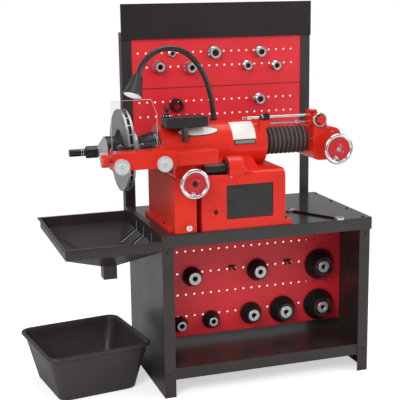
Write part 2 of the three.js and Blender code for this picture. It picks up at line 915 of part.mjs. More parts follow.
function towerOutline() {
  return outline([[gearLeft, spindleZ], [gearLeft + 2 * towerWidth, spindleZ],
    [gearLeft + 2 * towerWidth, rateZ - rateDialRadius / 2], [gearLeft + towerNeck, towerTop],
    [gearLeft - towerReach, towerTop], [gearLeft - towerReach, towerLedge],
    [gearLeft, towerLedge]]);
}

function feedGearbox() {
  const body = union(
    plateY(gearOutline(), gearFront, gearBack),
    plateY(towerOutline(), gearFront, gearFront + towerDepth),
    rodX(ramRadius, ramLeft, gearLeft + overrun, spindleY, spindleZ),
    rodY(rateKnobRadius, rateFront + rateDialDepth + gap, gearFront + overrun, rateX, rateZ),
    rodY(2 * hubRadius, feedWheelY + 2 * hubRadius, gearFront + overrun, feedWheelX, feedWheelZ),
  );
  const spindleBore = rodX(spindleRadius + runningGap, ramLeft - overrun,
    spindleRight + runningGap, spindleY, spindleZ);
  const wheelBore = rodY(hubRadius / 2 + runningGap, 0, gearFront + castWall, feedWheelX,
    feedWheelZ, smallSides);
  const dialBore = rodY(hubRadius / 2 + runningGap, 0, gearFront + castWall, rateX, rateZ,
    smallSides);
  const rodEnd = gearLeft - towerReach - overrun;
  const rodSocket = rodX(tripRodRadius + gap, rodEnd, gearLeft, tripY, tripRodZ, smallSides);
  const stopSocket = rodX(stopRodRadius + gap, rodEnd, gearLeft + castWall, tripY, stopRodZ,
    smallSides);
  return body.subtract(spindleBore).subtract(wheelBore).subtract(dialBore).subtract(rodSocket)
    .subtract(stopSocket);
}

// A handwheel facing -Y: round rim, dished disc, hub shaft and crank knob
function handwheel(x, y, z, radius, shaftEnd, crankAngle) {
  const middle = radius - handwheelRim;
  const rim = [];
  for (let step = 0; step <= rimPoints; step += 1) {
    const turn = step / rimPoints * 2 * Math.PI;
    rim.push([middle + handwheelRim * Math.cos(turn), handwheelRim * Math.sin(turn)]);
  }
  const disc = turnedY([[0, -hubRadius / 2], [hubRadius, -hubRadius / 2], [hubRadius, 0],
    [middle, 0], [middle, handwheelDiscThickness],
    [hubRadius, handwheelDiscThickness], [hubRadius, 2 * hubRadius - gap],
    [0, 2 * hubRadius - gap]], x, y, z);
  const shaft = rodY(hubRadius / 2, y, shaftEnd, x, z, smallSides);
  const neck = crankRadius * crankNeckShare;
  const crank = turnedY([[0, -crankKnob], [crankRadius * crankEndShare, -crankKnob],
    [crankRadius, -crankKnob * crankEndShare], [neck, 0], [neck, handwheelDiscThickness / 2],
    [0, handwheelDiscThickness / 2]], x + crankReach * Math.cos(crankAngle), y,
    z + crankReach * Math.sin(crankAngle), smallSides);
  return union(turnedY(rim, x, y, z, roundSides), disc, shaft, crank);
}

function rateDial() {
  const back = rateFront + rateDialDepth;
  const dial = rodY(rateDialRadius, rateFront, back, rateX, rateZ);
  let knob = rodY(rateKnobRadius, rateFront - rateKnobDepth, rateFront + gap, rateX, rateZ);
  for (let step = 0; step < scallopCount; step += 1) {
    const turn = step / scallopCount * 2 * Math.PI;
    knob = knob.subtract(rodY(scallopRadius, rateFront - rateKnobDepth - overrun, rateFront,
      rateX + (rateKnobRadius + scallopRadius / 2) * Math.cos(turn),
      rateZ + (rateKnobRadius + scallopRadius / 2) * Math.sin(turn), scallopSides));
  }
  return union(dial, knob, rodY(hubRadius / 2, rateFront, gearFront + castWall - runningGap,
    rateX, rateZ, smallSides));
}

const feedCrankAngle = -112 * Math.PI / 180;
const crossCrankAngle = -102 * Math.PI / 180;

piece('feed_gearbox', feedGearbox(), redPaint);
piece('feed_handwheel', handwheel(feedWheelX, feedWheelY, feedWheelZ, feedWheelRadius,
  gearFront + castWall - runningGap, feedCrankAngle), chrome);
piece('feed_rate_dial', rateDial(), redPaint);

// Trip rod and its block, and the stop rod that slides through the casting's lug
function tripRod() {
  return rodX(tripRodRadius, tripRodLeft, gearLeft - gap, tripY, tripRodZ, smallSides);
}

function stopRod() {
  const end = gearLeft + castWall - gap;
  return rodX(stopRodRadius, stopRodLeft, end, tripY, stopRodZ, smallSides)
    .add(rodX(stopCollarRadius, stopCollarX, stopCollarX + stopCollarLength, tripY, stopRodZ,
      smallSides));
}

function tripBlock() {
  const bore = rodX(tripRodRadius + runningGap, blockLeft - overrun, blockRight + overrun,
    tripY, tripRodZ, smallSides);
  return block(blockLeft, blockRight, tripY - blockDepth / 2, tripY + blockDepth / 2,
    blockBottom, blockTop).subtract(bore);
}

piece('trip_rod', tripRod(), chrome);
piece('stop_rod', stopRod(), steel);
piece('trip_block', tripBlock(), darkSteel);

// Cross feed column: an open trough on a hollow foot, bored for the feed screw
function crossColumn() {
  const foot = block(columnLeft - footReach, columnRight, columnWall + footReach,
    columnBack + footReach, tableHeight + gap, tableHeight + gap + footHeight);
  const body = block(columnLeft, columnRight, 0, columnBack, tableHeight + gap, columnTop);
  const trough = block(columnLeft + sheet, columnRight - sheet, columnWall,
    columnBack - 2 * columnWall, troughFloor, columnTop + overrun);
  const hollow = block(columnLeft + castWall, columnRight - castWall, castWall,
    columnBack - castWall, tableHeight - overrun, troughFloor - castWall);
  const screwBore = rodY(screwRadius + runningGap, -overrun, screwEnd + runningGap, screwX,
    screwZ, smallSides);
  const pinBore = rodY(pinRadius / 2 + gap, -overrun, castWall + overrun, pinX, pinZ,
    smallSides);
  return foot.add(body).subtract(trough).subtract(hollow).subtract(screwBore).subtract(pinBore);
}

function crossScrew() {
  return rodY(screwRadius, crossWheelY + 2 * hubRadius, screwEnd, screwX, screwZ, smallSides);
}

// Cross slide: a nut in the trough, a plate over it, a saddle and the block above the column
function crossSlide() {
  const left = columnLeft + slideSide;
  const right = columnRight - slideSide;
  const back = nutFront + nutLength;
  const nut = block(left, right, nutFront, back, troughFloor + gap, slidePlateTop);
  const plate = block(left, right, 0, back, columnTop + gap, slidePlateTop);
  const saddle = block(left, right, 0, slideBack, columnTop + gap, slideBlockTop);
  const shape = outline([[slideBlockLeft, slideBlockBottom], [slideBlockRight, slideBlockBottom],
    [slideBlockRight, slideBlockTop], [slideBlockShoulder, slideBlockTop],
    [cutterRight, cutterTop], [slideBlockLeft, cutterTop]]);
  const head = plateY(shape, cutterBack + gap, slideBack);
  const bore = rodY(screwRadius + runningGap, nutFront - overrun, back + overrun, screwX, screwZ,
    smallSides);
  return union(nut, plate, saddle, head).subtract(bore);
}

piece('cross_feed_column', crossColumn(), redPaint);
piece('cross_slide', crossSlide(), redPaint);
piece('cross_feed_screw', crossScrew(), steel);
piece('cross_handwheel', handwheel(screwX, crossWheelY, screwZ, crossWheelRadius,
  crossWheelY + hubRadius, crossCrankAngle), chrome);

// Twin cutter: a body with a groove in its back for two tool holders, two dials and a knob
const holderLeft = rotorLeft - holderInset - holderWidth / 2;
const holderRight = rotorLeft + rotorThickness + holderInset - holderWidth / 2;
const holderBottom = spindleZ - holderHeight / 2;
const rotorFront = spindleY - rotorRadius;
const guardPinZ = cutterTop + runningGap + gap + guardPin;

function cutterBody() {
  const front = cutterFront - dialBoss;
  const limits = block(cutterLeft, cutterRight + dialBoss, front, cutterBack, cutterBottom,
    cutterTop);
  const boss = (x) => rodY(dialRadius + dialBoss, front, cutterBack - holderSeat, x, dialZ)
    .intersect(limits);
  const groove = block(cutterLeft - overrun, cutterRight + overrun, cutterBack - holderSeat,
    cutterBack + overrun, holderBottom - gap, holderBottom + holderHeight + gap);
  const bore = (x) => rodY(dialHub + runningGap, front - overrun, cutterFront + castWall,
    x, dialZ, smallSides);
  const knobBore = rodX(dialHub + gap, cutterLeft - overrun, cutterLeft + castWall, endKnobY,
    endKnobZ, smallSides);
  const lugReach = guardPin + guardLugWall;
  const lug = (x) => block(x, x + guardLug, guardFront - lugReach, guardFront + lugReach,
    cutterTop - overrun, guardPinZ + lugReach);
  const pinBore = rodX(guardPin + runningGap, cutterLeft - overrun, cutterRight + overrun,
    guardFront, guardPinZ, smallSides);
  const lugs = lug(guardLeft - guardLug).add(lug(guardRight)).subtract(pinBore);
  return block(cutterLeft, cutterRight, cutterFront, cutterBack, cutterBottom, cutterTop)
    .add(boss(leftDialX)).add(boss(rightDialX)).add(lugs).subtract(groove)
    .subtract(bore(leftDialX)).subtract(bore(rightDialX)).subtract(knobBore);
}

// A holder's straight arm ends just before the rotor's rim, with its bit facing the rotor
function toolHolder(side) {
  const inner = side < 0 ? holderLeft : holderRight;
  const outer = inner + holderWidth;
  const back = rotorFront - rimClearance;
  const arm = block(inner, outer, cutterBack - holderSeat + gap, back, holderBottom,
    holderBottom + holderHeight);
  const root = side < 0 ? outer - overrun : inner + overrun;
  const point = side < 0 ? rotorLeft - toolStandoff : rotorLeft + rotorThickness + toolStandoff;
  const bit = block(Math.min(root, point), Math.max(root, point), back - toolWidth, back,
    spindleZ - toolWidth / 2, spindleZ + toolWidth / 2);
  return arm.add(bit);
}

function toolDial(x) {
  const front = cutterFront - dialBoss - gap - dialDepth;
  return union(
    rodY(dialRadius, front, front + dialDepth, x, dialZ),
    rodY(dialHub / 2, front - dialHub / 2, front + gap, x, dialZ, hexSides),
    rodY(dialHub, front, cutterFront + castWall - runningGap, x, dialZ, smallSides),
  );
}

function endKnob() {
  const right = cutterLeft - gap - endKnobStand;
  const left = right - endKnobLength;
  let knob = rodX(endKnobRadius, left, right, endKnobY, endKnobZ);
  for (let step = 0; step < scallopCount; step += 1) {
    const turn = step / scallopCount * 2 * Math.PI;
    knob = knob.subtract(rodX(scallopRadius, left - overrun, right - overrun,
      endKnobY + (endKnobRadius + scallopRadius / 2) * Math.cos(turn),
      endKnobZ + (endKnobRadius + scallopRadius / 2) * Math.sin(turn), scallopSides));
  }
  return knob.add(rodX(dialHub, left + castWall, cutterLeft + castWall - gap, endKnobY,
    endKnobZ, smallSides));
}

// Clear guard: a sheet with a cut corner on a pin that turns in the cutter's two lugs
function clearGuard() {
  const left = guardLeft + gap;
  const right = guardRight - gap;
  const face = plateY(outline([[left, guardPinZ], [left, guardTop],
    [right - guardCutWidth, guardTop], [right, guardTop - guardCut], [right, guardPinZ]]),
  guardFront, guardFront + guardSheet);
  return face.add(rodX(guardPin, guardLeft - guardLug, guardRight + guardLug, guardFront,
    guardPinZ, smallSides));
}

piece('cutter_body', cutterBody(), redPaint);
piece('left_tool_holder', toolHolder(-1), darkSteel);
piece('right_tool_holder', toolHolder(1), darkSteel);
piece('left_tool_dial', toolDial(leftDialX), dialFinish);
piece('right_tool_dial', toolDial(rightDialX), dialFinish);
piece('cutter_knob', endKnob(), redPaint);
piece('clear_guard', clearGuard(), clearPlastic);

// Boring bar on its pad, with a clamp handle below and a ball knob above
function boringBar() {
  const clampBore = rodZ(clampRadius / 2 + gap, barBottom - overrun, barBottom + castWall,
    clampX, clampY, smallSides);
  const housing = rodX(housingRadius + gap, housingLeft - overrun, housingRight, spindleY,
    spindleZ);
  return block(barLeft, barRight, barFront, barBack, barBottom, barTop).subtract(clampBore)
    .subtract(housing);
}

function barClamp() {
  return union(
    rodZ(clampRadius, barBottom - gap - clampDrop, barBottom - gap, clampX, clampY, smallSides),
    rodZ(clampRadius / 2, barBottom - castWall, barBottom + castWall - gap, clampX, clampY,
      smallSides),
  );
}

function barKnob() {
  const foot = barTop + gap;
  const ball = new THREE.SphereGeometry(knobBall, smallSides, smallSides / 2);
  ball.rotateX(Math.PI / 2);
  const middle = foot + knobCollarHeight + knobNeck + knobBall;
  ball.translate(knobX, (barFront + barBack) / 2, middle);
  return union(
    solid(ball),
    rodZ(knobCollar, foot, foot + knobCollarHeight - gap, knobX, (barFront + barBack) / 2,
      smallSides),
    rodZ(knobBall / 2, foot, middle, knobX, (barFront + barBack) / 2, smallSides),
  );
}

piece('boring_bar', boringBar(), blackPaint);
piece('boring_bar_clamp', barClamp(), darkSteel);
piece('boring_bar_knob', barKnob(), chrome);

// Work lamp: gooseneck in a collar that turns on the housing's boss, and a closed shade
const swanEnd = new THREE.Vector3(lampSwanX, lampBaseY, lampSwanZ);
const swanFall = new THREE.Vector3(-lampEndLean, -lampFaceLean, -lampDrop);

function gooseneck() {
  const foot = lampBossTop + gap;
  const start = new THREE.Vector3(lampBaseX, lampBaseY, foot + lampCollarHeight / 2);
  const rise = start.clone().add(new THREE.Vector3(-lampLean, 0, lampLift));
  const path = new THREE.CubicBezierCurve3(start, rise, swanEnd.clone().sub(swanFall), swanEnd);
  const section = new THREE.Shape();
  section.absarc(0, 0, neckRadius, 0, 2 * Math.PI, false);
  const tube = new THREE.ExtrudeGeometry(section,
    { steps: neckSteps, curveSegments: neckSides / 2, extrudePath: path });
  const collar = rodZ(lampCollarRadius, foot, foot + lampCollarHeight, lampBaseX, lampBaseY);
  return solid(tube).add(collar);
}

// The shade hangs below the end of the neck, tilted towards the work
function lampShade() {
  const geometry = turned([
    [0, gap], [shadeTop, gap], [shadeTop + shadeWall, castWall], [shadeRadius, shadeLength],
    [shadeRadius - shadeWall, shadeLength], [shadeRadius - shadeWall, shadeLength - lensRecess],
    [0, shadeLength - lensRecess],
  ]);
  const up = new THREE.Vector3(0, 1, 0);
  const aim = swanFall.clone().normalize();
  geometry.applyQuaternion(new THREE.Quaternion().setFromUnitVectors(up, aim));
  geometry.translate(swanEnd.x, swanEnd.y, swanEnd.z);
  return solid(geometry);
}

piece('lamp_gooseneck', gooseneck(), rubber);
piece('lamp_shade', lampShade(), blackPaint);

// Feed shaft sleeve, lock pin and wrench
function shaftSleeve() {
  const seat = recessEnd - gap;
  return rodX(sleeveRadius, sleeveLeft, seat, sleeveY, sleeveZ)
    .add(rodX(sleeveFlange, seat - sleeveFlangeDepth, seat, sleeveY, sleeveZ));
}

function lockPin() {
  const head = rodY(pinRadius, -gap - pinLength, -gap, pinX, pinZ);
  const stem = rodY(pinRadius / 2, -pinLength / 2, castWall, pinX, pinZ, smallSides);
  const socket = rodY(pinSocket, -pinLength - overrun, pinSocketDepth - pinLength, pinX, pinZ,
    hexSides);
  return head.add(stem).subtract(socket);
}

function wrench() {
  const half = wrenchLength / 2;
  const low = tableHeight + gap;
  const high = low + wrenchThickness;
  const body = union(
    block(-half + wrenchHead, half - wrenchRing, -wrenchWidth / 2, wrenchWidth / 2, low, high),
    rodZ(wrenchHead, low, high, wrenchHead - half, 0),
    rodZ(wrenchRing, low, high, half - wrenchRing, 0),
  );
  const mouth = block(-half - overrun, wrenchHead - half, -wrenchMouth / 2, wrenchMouth / 2,
    low - overrun, high + overrun);
  const ring = rodZ(wrenchBore, low - overrun, high + overrun, half - wrenchRing, 0,
    smallSides);
  return body.subtract(mouth).subtract(ring).rotate([0, 0, wrenchTurn * 180 / Math.PI])
    .translate([wrenchX, wrenchY, 0]);
}

piece('feed_shaft_sleeve', shaftSleeve(), darkSteel);
piece('lock_pin', lockPin(), chrome);
piece('wrench', wrench(), chrome);

// Adapters on the boards: each a cone that narrows to a flat face towards the operator
function hangAdapters(table, board, finishOf) {
  for (const [name, acrossShare, upShare, radiusShare, depthShare] of table) {
    const radius = adapterSize * radiusShare;
    const depth = adapterSize * depthShare;
    const body = turnedY([[0, -depth], [radius * adapterFaceShare, -depth],
      [radius - adapterLip, -depth * adapterConeShare], [radius, -depth * adapterRimShare],
      [radius, 0], [0, 0]], board.middle + board.half * acrossShare, board.face,
    board.bottom + (board.top - board.bottom) * upShare, adapterSides);
    piece(name, body, finishOf);
  }
}

const lowerBoard = { middle: 0, half: panelInner, face: lowerBoardY - gap,
  bottom: lowerBoardBottom, top: tableHeight - sheet - gap };
const upperBoard = { middle: frameShift, half: boardHalf, face: frameFront + frameWall,
  bottom: upperBoardBottom, top: headerTop - headerHeight };
hangAdapters(lowerAdapterShares, lowerBoard, blackPaint);
hangAdapters(upperAdapterShares, upperBoard, darkSteel);

// The origin is the middle of the bottom of the whole part
const bounds = new THREE.Box3().setFromObject(machine);
const middle = bounds.getCenter(new THREE.Vector3());
machine.position.set(-middle.x, -middle.y, -bounds.min.z);
machine.updateMatrixWorld(true);

export default machine;
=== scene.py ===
import math
import bpy
import bmesh
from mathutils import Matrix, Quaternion, Vector
from mathutils.geometry import delaunay_2d_cdt


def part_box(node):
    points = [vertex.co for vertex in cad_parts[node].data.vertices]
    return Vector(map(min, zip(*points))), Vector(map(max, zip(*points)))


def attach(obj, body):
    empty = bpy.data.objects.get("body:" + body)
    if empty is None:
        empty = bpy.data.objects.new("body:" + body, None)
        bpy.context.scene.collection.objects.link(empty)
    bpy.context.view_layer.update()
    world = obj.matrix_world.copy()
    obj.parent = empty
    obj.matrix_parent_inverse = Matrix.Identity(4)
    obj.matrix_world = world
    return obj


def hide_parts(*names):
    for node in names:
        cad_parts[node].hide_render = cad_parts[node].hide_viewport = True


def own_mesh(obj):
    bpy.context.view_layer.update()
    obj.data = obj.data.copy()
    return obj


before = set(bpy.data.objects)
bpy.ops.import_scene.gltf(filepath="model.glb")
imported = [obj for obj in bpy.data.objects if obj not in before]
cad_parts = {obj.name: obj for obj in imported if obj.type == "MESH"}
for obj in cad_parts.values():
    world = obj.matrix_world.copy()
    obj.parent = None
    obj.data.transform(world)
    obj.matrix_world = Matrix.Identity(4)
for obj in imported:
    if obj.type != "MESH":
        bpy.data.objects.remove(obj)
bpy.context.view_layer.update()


# Bench table, side panels and shelf: folded 3 mm steel sheet in black powder coat. The
# table is one pressed top with a deep skirt; dome bolts hold it to the panels' flanges
# along both sides. Every place below is in bench millimetres.
up, front, left, right = (0, 0, 1), (0, -1, 0), (-1, 0, 0), (1, 0, 0)
per_metre = 1000
skirt_reach = 9
table_low, table_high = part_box("table_top")
table_middle = (table_low.x + table_high.x) / 2


def at(x, y, z):
    """A place in metres: x from the table's middle, y from the panels' front, z from the floor."""
    return Vector(
        (x / per_metre + table_middle, (y + skirt_reach) / per_metre + table_low.y, z / per_metre))


def feed(node, sockets):
    """Sets a node's sockets to values, or joins them to other nodes' outputs."""
    for socket, value in sockets.items():
        if isinstance(value, bpy.types.NodeSocket):
            node.id_data.links.new(value, node.inputs[socket])
        else:
            node.inputs[socket].default_value = value


def new_node(finish, kind, output, sockets, **settings):
    """Adds a shader node and gives its output, ready to be fed into another node."""
    node = finish.node_tree.nodes.new("ShaderNode" + kind)
    for name, value in settings.items():
        setattr(node, name, value)
    feed(node, sockets)
    return node.outputs[output]


def place_on(finish):
    return new_node(finish, "TexCoord", "Object", {})


def shade(finish, sockets):
    feed(finish.node_tree.nodes["Principled BSDF"], sockets)


def new_finish(name, colour, rough, metal=0.0, coat=0.0, shine=0.5, slot=""):
    """An even finish. Its slot argument is not used."""
    finish = bpy.data.materials.new(name)
    finish.use_nodes = True
    shade(finish, {"Base Color": (*colour, 1), "Roughness": rough, "Metallic": metal, "Coat Weight": coat,
              "Coat Roughness": 0.08, "Specular IOR Level": shine})
    return finish


def two_tones(finish, source, low_place, low_tone, high_place, high_tone):
    colour = new_node(finish, "ValToRGB", "Color", {"Fac": source})
    low, high = colour.node.color_ramp.elements
    low.position, low.color = low_place, (*low_tone, 1)
    high.position, high.color = high_place, (*high_tone, 1)
    return colour


def mottle(finish, colour, deep, cloud_scale, rough_low, rough_high):
    """Cloudy change of colour and gloss over the surface, as sprayed or cast surfaces have."""
    cloud = new_node(
        finish, "TexNoise", "Fac", {"Vector": place_on(finish), "Scale": cloud_scale, "Detail": 6})
    gloss = new_node(
        finish, "MapRange", "Result", {"Value": cloud, "To Min": rough_low, "To Max": rough_high})
    shade(finish, {"Base Color": two_tones(finish, cloud, 0.3, deep, 0.7, colour), "Roughness": gloss})


def grain(finish, scale, depth):
    """Fine raised texture: orange peel in paint, sand marks in iron, pores in plastic."""
    fine = new_node(finish, "TexNoise", "Fac", {"Vector": place_on(finish), "Scale": scale, "Detail": 3})
    bump = new_node(finish, "Bump", "Normal", {"Height": fine, "Strength": 0.5, "Distance": depth})
    shade(finish, {"Normal": bump})


def painted(name, colour, deep, cloud, rough, fine, depth, **extra):
    """Cloud and fine are the scales of the mottle and the grain; depth is the grain's, in m."""
    finish = new_finish(name, colour, rough, **extra)
    mottle(finish, colour, deep, cloud, rough * 0.8, rough * 1.25)
    grain(finish, fine, depth)
    return finish


def round_edges(piece, width):
    weld = piece.modifiers.new("weld", "WELD")
    weld.merge_threshold = 0.00002
    edge = piece.modifiers.new("edge", "BEVEL")
    edge.width = width / per_metre
    edge.segments = 2
    edge.limit_method = "ANGLE"
    edge.angle_limit = math.radians(34)
    shade = piece.modifiers.new("shade", "WEIGHTED_NORMAL")
    shade.keep_sharp = True


def dress(node, finish, edge=0.8):
    """Gives a solid its finish and breaks its sharp edges by that many millimetres."""
    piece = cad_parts[node]
    piece.data.materials.clear()
    piece.data.materials.append(finish)
    piece.data.shade_smooth()
    round_edges(piece, edge)


def around(count):
    """Angles in equal steps round a full turn."""
    return [2 * math.pi * step / count for step in range(count)]


def skin(rings, count):
    """Faces between rings of points that follow each other."""
    return [(ring + step, ring + (step + 1) % count, ring + count + (step + 1) % count,
                ring + count + step) for ring in range(0, (rings - 1) * count, count)
            for step in range(count)]


def capped_skin(rings, count):
    """The same, with a face across the first ring and the last."""
    last = (rings - 1) * count
    return skin(rings, count) + [tuple(range(count - 1, -1, -1)), tuple(range(last, last + count))]


def turned(profile, centre, axis=up, sides=48, groove=None):
    """A turned form: profile points are (radius, distance along the axis), in millimetres."""
    turn = Vector(axis).to_track_quat("Z", "Y").to_matrix()
    points = []
    for full, reach in profile:
        for angle in around(sides):
            radius = full - groove(full, angle) if groove else full
            local = Vector((radius * math.cos(angle), radius * math.sin(angle), reach))
            points.append(at(*(turn @ local + Vector(centre))))
    return points, skin(len(profile), sides)


def slab(x0, x1, y0, y1, z0, z1):
    points = [at(x, y, z) for z in (z0, z1) for x, y in ((x0, y0), (x1, y0), (x1, y1), (x0, y1))]
    faces = [(3, 2, 1, 0), (4, 5, 6, 7), (0, 1, 5, 4), (1, 2, 6, 5), (2, 3, 7, 6), (3, 0, 4, 7)]
    return points, faces


def show(name, data):
    """Puts a mesh, a light or a camera into the scene."""
    shown = bpy.data.objects.new(name, data)
    bpy.context.scene.collection.objects.link(shown)
    return shown


def build(name, forms, finish, body="bench", edge=0.0, sharp=38):
    """Joins forms into one piece, welds their seams, and fixes it to a body of the machine."""
    weld_gap = 0.000004
    points = []
    faces = []
    for form_points, form_faces in forms:
        start = len(points)
        points.extend(form_points)
        faces.extend([tuple(start + corner for corner in face) for face in form_faces])
    mesh = bpy.data.meshes.new(name)
    mesh.from_pydata(points, [], faces)
    shape = bmesh.new()
    shape.from_mesh(mesh)
    bmesh.ops.remove_doubles(shape, verts=shape.verts, dist=weld_gap)
    bmesh.ops.dissolve_degenerate(shape, edges=shape.edges, dist=weld_gap)
    bmesh.ops.recalc_face_normals(shape, faces=shape.faces)
    shape.to_mesh(mesh)
    shape.free()
    mesh.shade_smooth()
    mesh.set_sharp_from_angle(angle=math.radians(sharp))
    mesh.materials.append(finish)
    piece = show(name, mesh)
    if edge:
        round_edges(piece, edge)
    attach(piece, body)
    return piece


def dome_bolt(x, y, z, axis, radius=6.0, height=3.6):
    return turned(
        [(0, height), (radius * 0.45, height * 0.93), (radius * 0.8, height * 0.6), (radius, 0.2),
            (radius, -0.8), (0, -0.8)], (x, y, z), axis, 20)


bench_black = painted(
    "bench_black_powder_coat", (0.036, 0.027, 0.026), (0.024, 0.017, 0.017), 9, 0.4, 900, 0.00012,
    coat=0.08)
for part in ("left_side_panel", "right_side_panel", "bottom_shelf"):
    dress(part, bench_black, 1.2)
table_gloss = painted(
    "table_black_gloss", (0.03, 0.027, 0.026), (0.021, 0.019, 0.018), 6, 0.2, 500, 0.00006, coat=0.2)
dress("table_top", table_gloss, 1.6)
bolt_black = painted(
    "black_oxide_bolt", (0.018, 0.017, 0.017), (0.01, 0.01, 0.01), 60, 0.38, 1500, 0.0001, metal=0.4,
    slot="tool_black")
table_face = 660.2
build("table_bolts_right", [dome_bolt(x, y, table_face, up)
          for x, y in ((435, 507), (426, 335), (423, 177), (412, 11))], bolt_black)
panel_face, panel_inside, flange_middle = 440.8, 437.4, 420
panel_bolts = [dome_bolt(panel_inside, y, z, left) for y, z in ((104, 417), (109, 281))]
for side in (-1, 1):
    for z in (95, 590):
        panel_bolts += [dome_bolt(side * panel_face, y, z, (side, 0, 0)) for y in (40, 300, 480)]
        panel_bolts.append(dome_bolt(side * flange_middle, 0.1, z, front, 5))
build("panel_bolts", panel_bolts, bolt_black)


# Rear frame: two folded angle posts in black powder coat behind the table, with a plain
# folded header panel screwed across their tops. The header is bare, with no lettering.
def span(node):
    """A node's low and high corners in bench millimetres."""
    zero = at(0, 0, 0)
    return [[(corner[way] - zero[way]) * per_metre for way in range(3)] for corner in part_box(node)]


for part in ("left_upright", "right_upright"):
    dress(part, bench_black, 2.2)
header_black = painted(
    "header_black_satin", (0.024, 0.018, 0.018), (0.018, 0.013, 0.013), 5, 0.5, 700, 0.00008, shine=0.28,
    slot="bench_black")
dress("header_panel", header_black, 1.4)
header_low, header_high = span("header_panel")
frame_middle = (header_low[0] + header_high[0]) / 2
header_front = 535.2
build("header_screws", [dome_bolt(frame_middle + side * 415, header_front, z, front, 4.5, 2.4)
          for side in (-1, 1) for z in (1388, 1500)], bolt_black)
trim_half, trim_height = 428, 2.4
build("header_trim", [slab(frame_middle - trim_half, frame_middle + trim_half, header_front - 0.8,
              header_front, z, z + trim_height) for z in (1373, 1513.4)], header_black, edge=0.3)


# Pegboards: red enamelled steel sheet, 2.5 mm thick, punched with rows of 9 mm holes that
# show right through. Two boards fill the rear frame, and one closes the bench below.
board_red = painted(
    "board_red_enamel", (0.88, 0.024, 0.038), (0.78, 0.019, 0.03), 4, 0.42, 600, 0.00008, coat=0.05,
    slot="board_red")
# A dark copy of the board red: painted shade for the seam between the boards and their folded edges.
board_shade = painted(
    "board_fold_painted_shade", (0.3, 0.008, 0.012), (0.2, 0.006, 0.01), 20, 0.5, 600, 0.00008,
    slot="board_red")
rear_board_face = 548.7
lower_board_face = 265


def punched_board(name, node, rows, pitch, margin):
    """The node's own sheet with its rows of round holes really punched out."""
    hole_radius, hole_sides = 4.6, 12
    (x0, y0, z0), (x1, _, z1) = span(node)
    flat = [Vector((x0, z0)), Vector((x1, z0)), Vector((x1, z1)), Vector((x0, z1))]
    edges = [(0, 1), (1, 2), (2, 3), (3, 0)]
    middles = []
    for z, x in rows:
        while x < x1 - margin:
            start = len(flat)
            middles.append(Vector((x, z)))
            for step, angle in enumerate(around(hole_sides)):
                flat.append(Vector((x + hole_radius * math.cos(angle),
                                    z + hole_radius * math.sin(angle))))
                edges.append((start + step, start + (step + 1) % hole_sides))
            x += pitch
    made, _, faces, _, _, _ = delaunay_2d_cdt(flat, edges, [], 2, 0.0001)
    kept = []
    for face in faces:
        centre = sum((made[corner] for corner in face), Vector((0, 0))) / len(face)
        nearest = min((centre - middle).length for middle in middles)
        if nearest > hole_radius * 0.9:
            kept.append(tuple(face))
    points = [at(point[0], y0, point[1]) for point in made]
    board = build(name, [(points, kept)], board_red)
    board.data.shade_flat()
    thick = board.modifiers.new("sheet", "SOLIDIFY")
    thick.thickness = 0.0025
    # the first face tells which way the open sheet faces; the sheet grows towards the back
    thick.offset = 1 if board.data.polygons[0].normal.y > 0 else -1
    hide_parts(node)


punched_board("punched_upper_board", "upper_pegboard", ((1312.5, -372), (1253, -369.5)), 34.8, 70)
punched_board("punched_middle_board", "middle_pegboard", ((1105, -371), (1043.5, -368.5)), 34.7, 70)
punched_board(
    "punched_lower_board", "lower_pegboard", [(z, -303) for z in (515, 421, 329, 235)], 36.5, 24)
# The seam and the folds are dark red strips of painted shade.
build("board_seam", [slab(frame_middle - 420, frame_middle + 420, rear_board_face - 1.1, rear_board_face,
              1161.5, 1165.6)], board_shade, edge=0.4)
side_folds = [
    slab(388, 389.4, rear_board_face - 0.8, rear_board_face, z0, z1)
    for z0, z1 in ((1168, 1366), (1012, 1160))]
build("board_side_fold", side_folds, board_shade, edge=0.2)
build("lower_board_fold", [slab(-436, 436, lower_board_face, 279, 147, 149.6)], board_shade, edge=0.5)


def swept(route, radius, sides=10):
    """A round bar or tube along a route; each ring stands square to the route there."""
    line = [Vector(point) for point in route]
    points = []
    side_way = None
    for index, here in enumerate(line):
        ahead = line[min(index + 1, len(line) - 1)] - line[max(index - 1, 0)]
        ahead.normalize()
        if side_way is None:
            side_way = ahead.orthogonal().normalized()
        side_way = (side_way - ahead * side_way.dot(ahead)).normalized()
        up_way = ahead.cross(side_way)
        for angle in around(sides):
            spot = here + (side_way * math.cos(angle) + up_way * math.sin(angle)) * radius
            points.append(at(*spot))
    return points, capped_skin(len(line), sides)


def peg_hook(x, y, z):
    """A bent wire hook with a little base plate."""
    arm = [(x, y, z + 6), (x - 2, y - 14, z + 4), (x - 2, y - 34, z - 2), (x - 2, y - 44, z + 8)]
    catch = [(x - 12, y - 2, z + 6), (x - 10, y - 8, z - 12)]
    plate = slab(x - 17, x + 15, y - 2.2, y - 0.2, z + 2, z + 11)
    return [plate, swept(arm, 3.2, 8), swept(catch, 2.4, 8)]


build("board_hooks", peg_hook(-62, lower_board_face, 427) + peg_hook(190, lower_board_face, 427),
      bolt_black)


# Stored adapters: turned steel cones and bells, blacked on the outside, each with a bright
# faced ring and a plain bore. They hang on the boards on short pegs with their mouths back.
adapter_black = painted(
    "adapter_blacked_steel", (0.02, 0.021, 0.022), (0.011, 0.012, 0.013), 40, 0.3, 900, 0.00004,
    metal=0.3, slot="adapter_black")
faced_steel = painted(
    "adapter_faced_steel", (0.68, 0.66, 0.67), (0.55, 0.54, 0.55), 70, 0.3, 1200, 0.00008, metal=0.55,
    slot="steel")
small_chrome = painted(
    "small_adapter_chrome", (0.72, 0.72, 0.73), (0.5, 0.5, 0.51), 40, 0.16, 900, 0.00006, metal=1.0,
    slot="steel")
# A dark copy of the board red: painted shade at the far end of each bore and in the bells' windows.
hollow_shade_red = painted(
    "hollow_painted_shade", (0.12, 0.012, 0.02), (0.06, 0.008, 0.012), 60, 0.5, 600, 0.00008, slot="board_red")


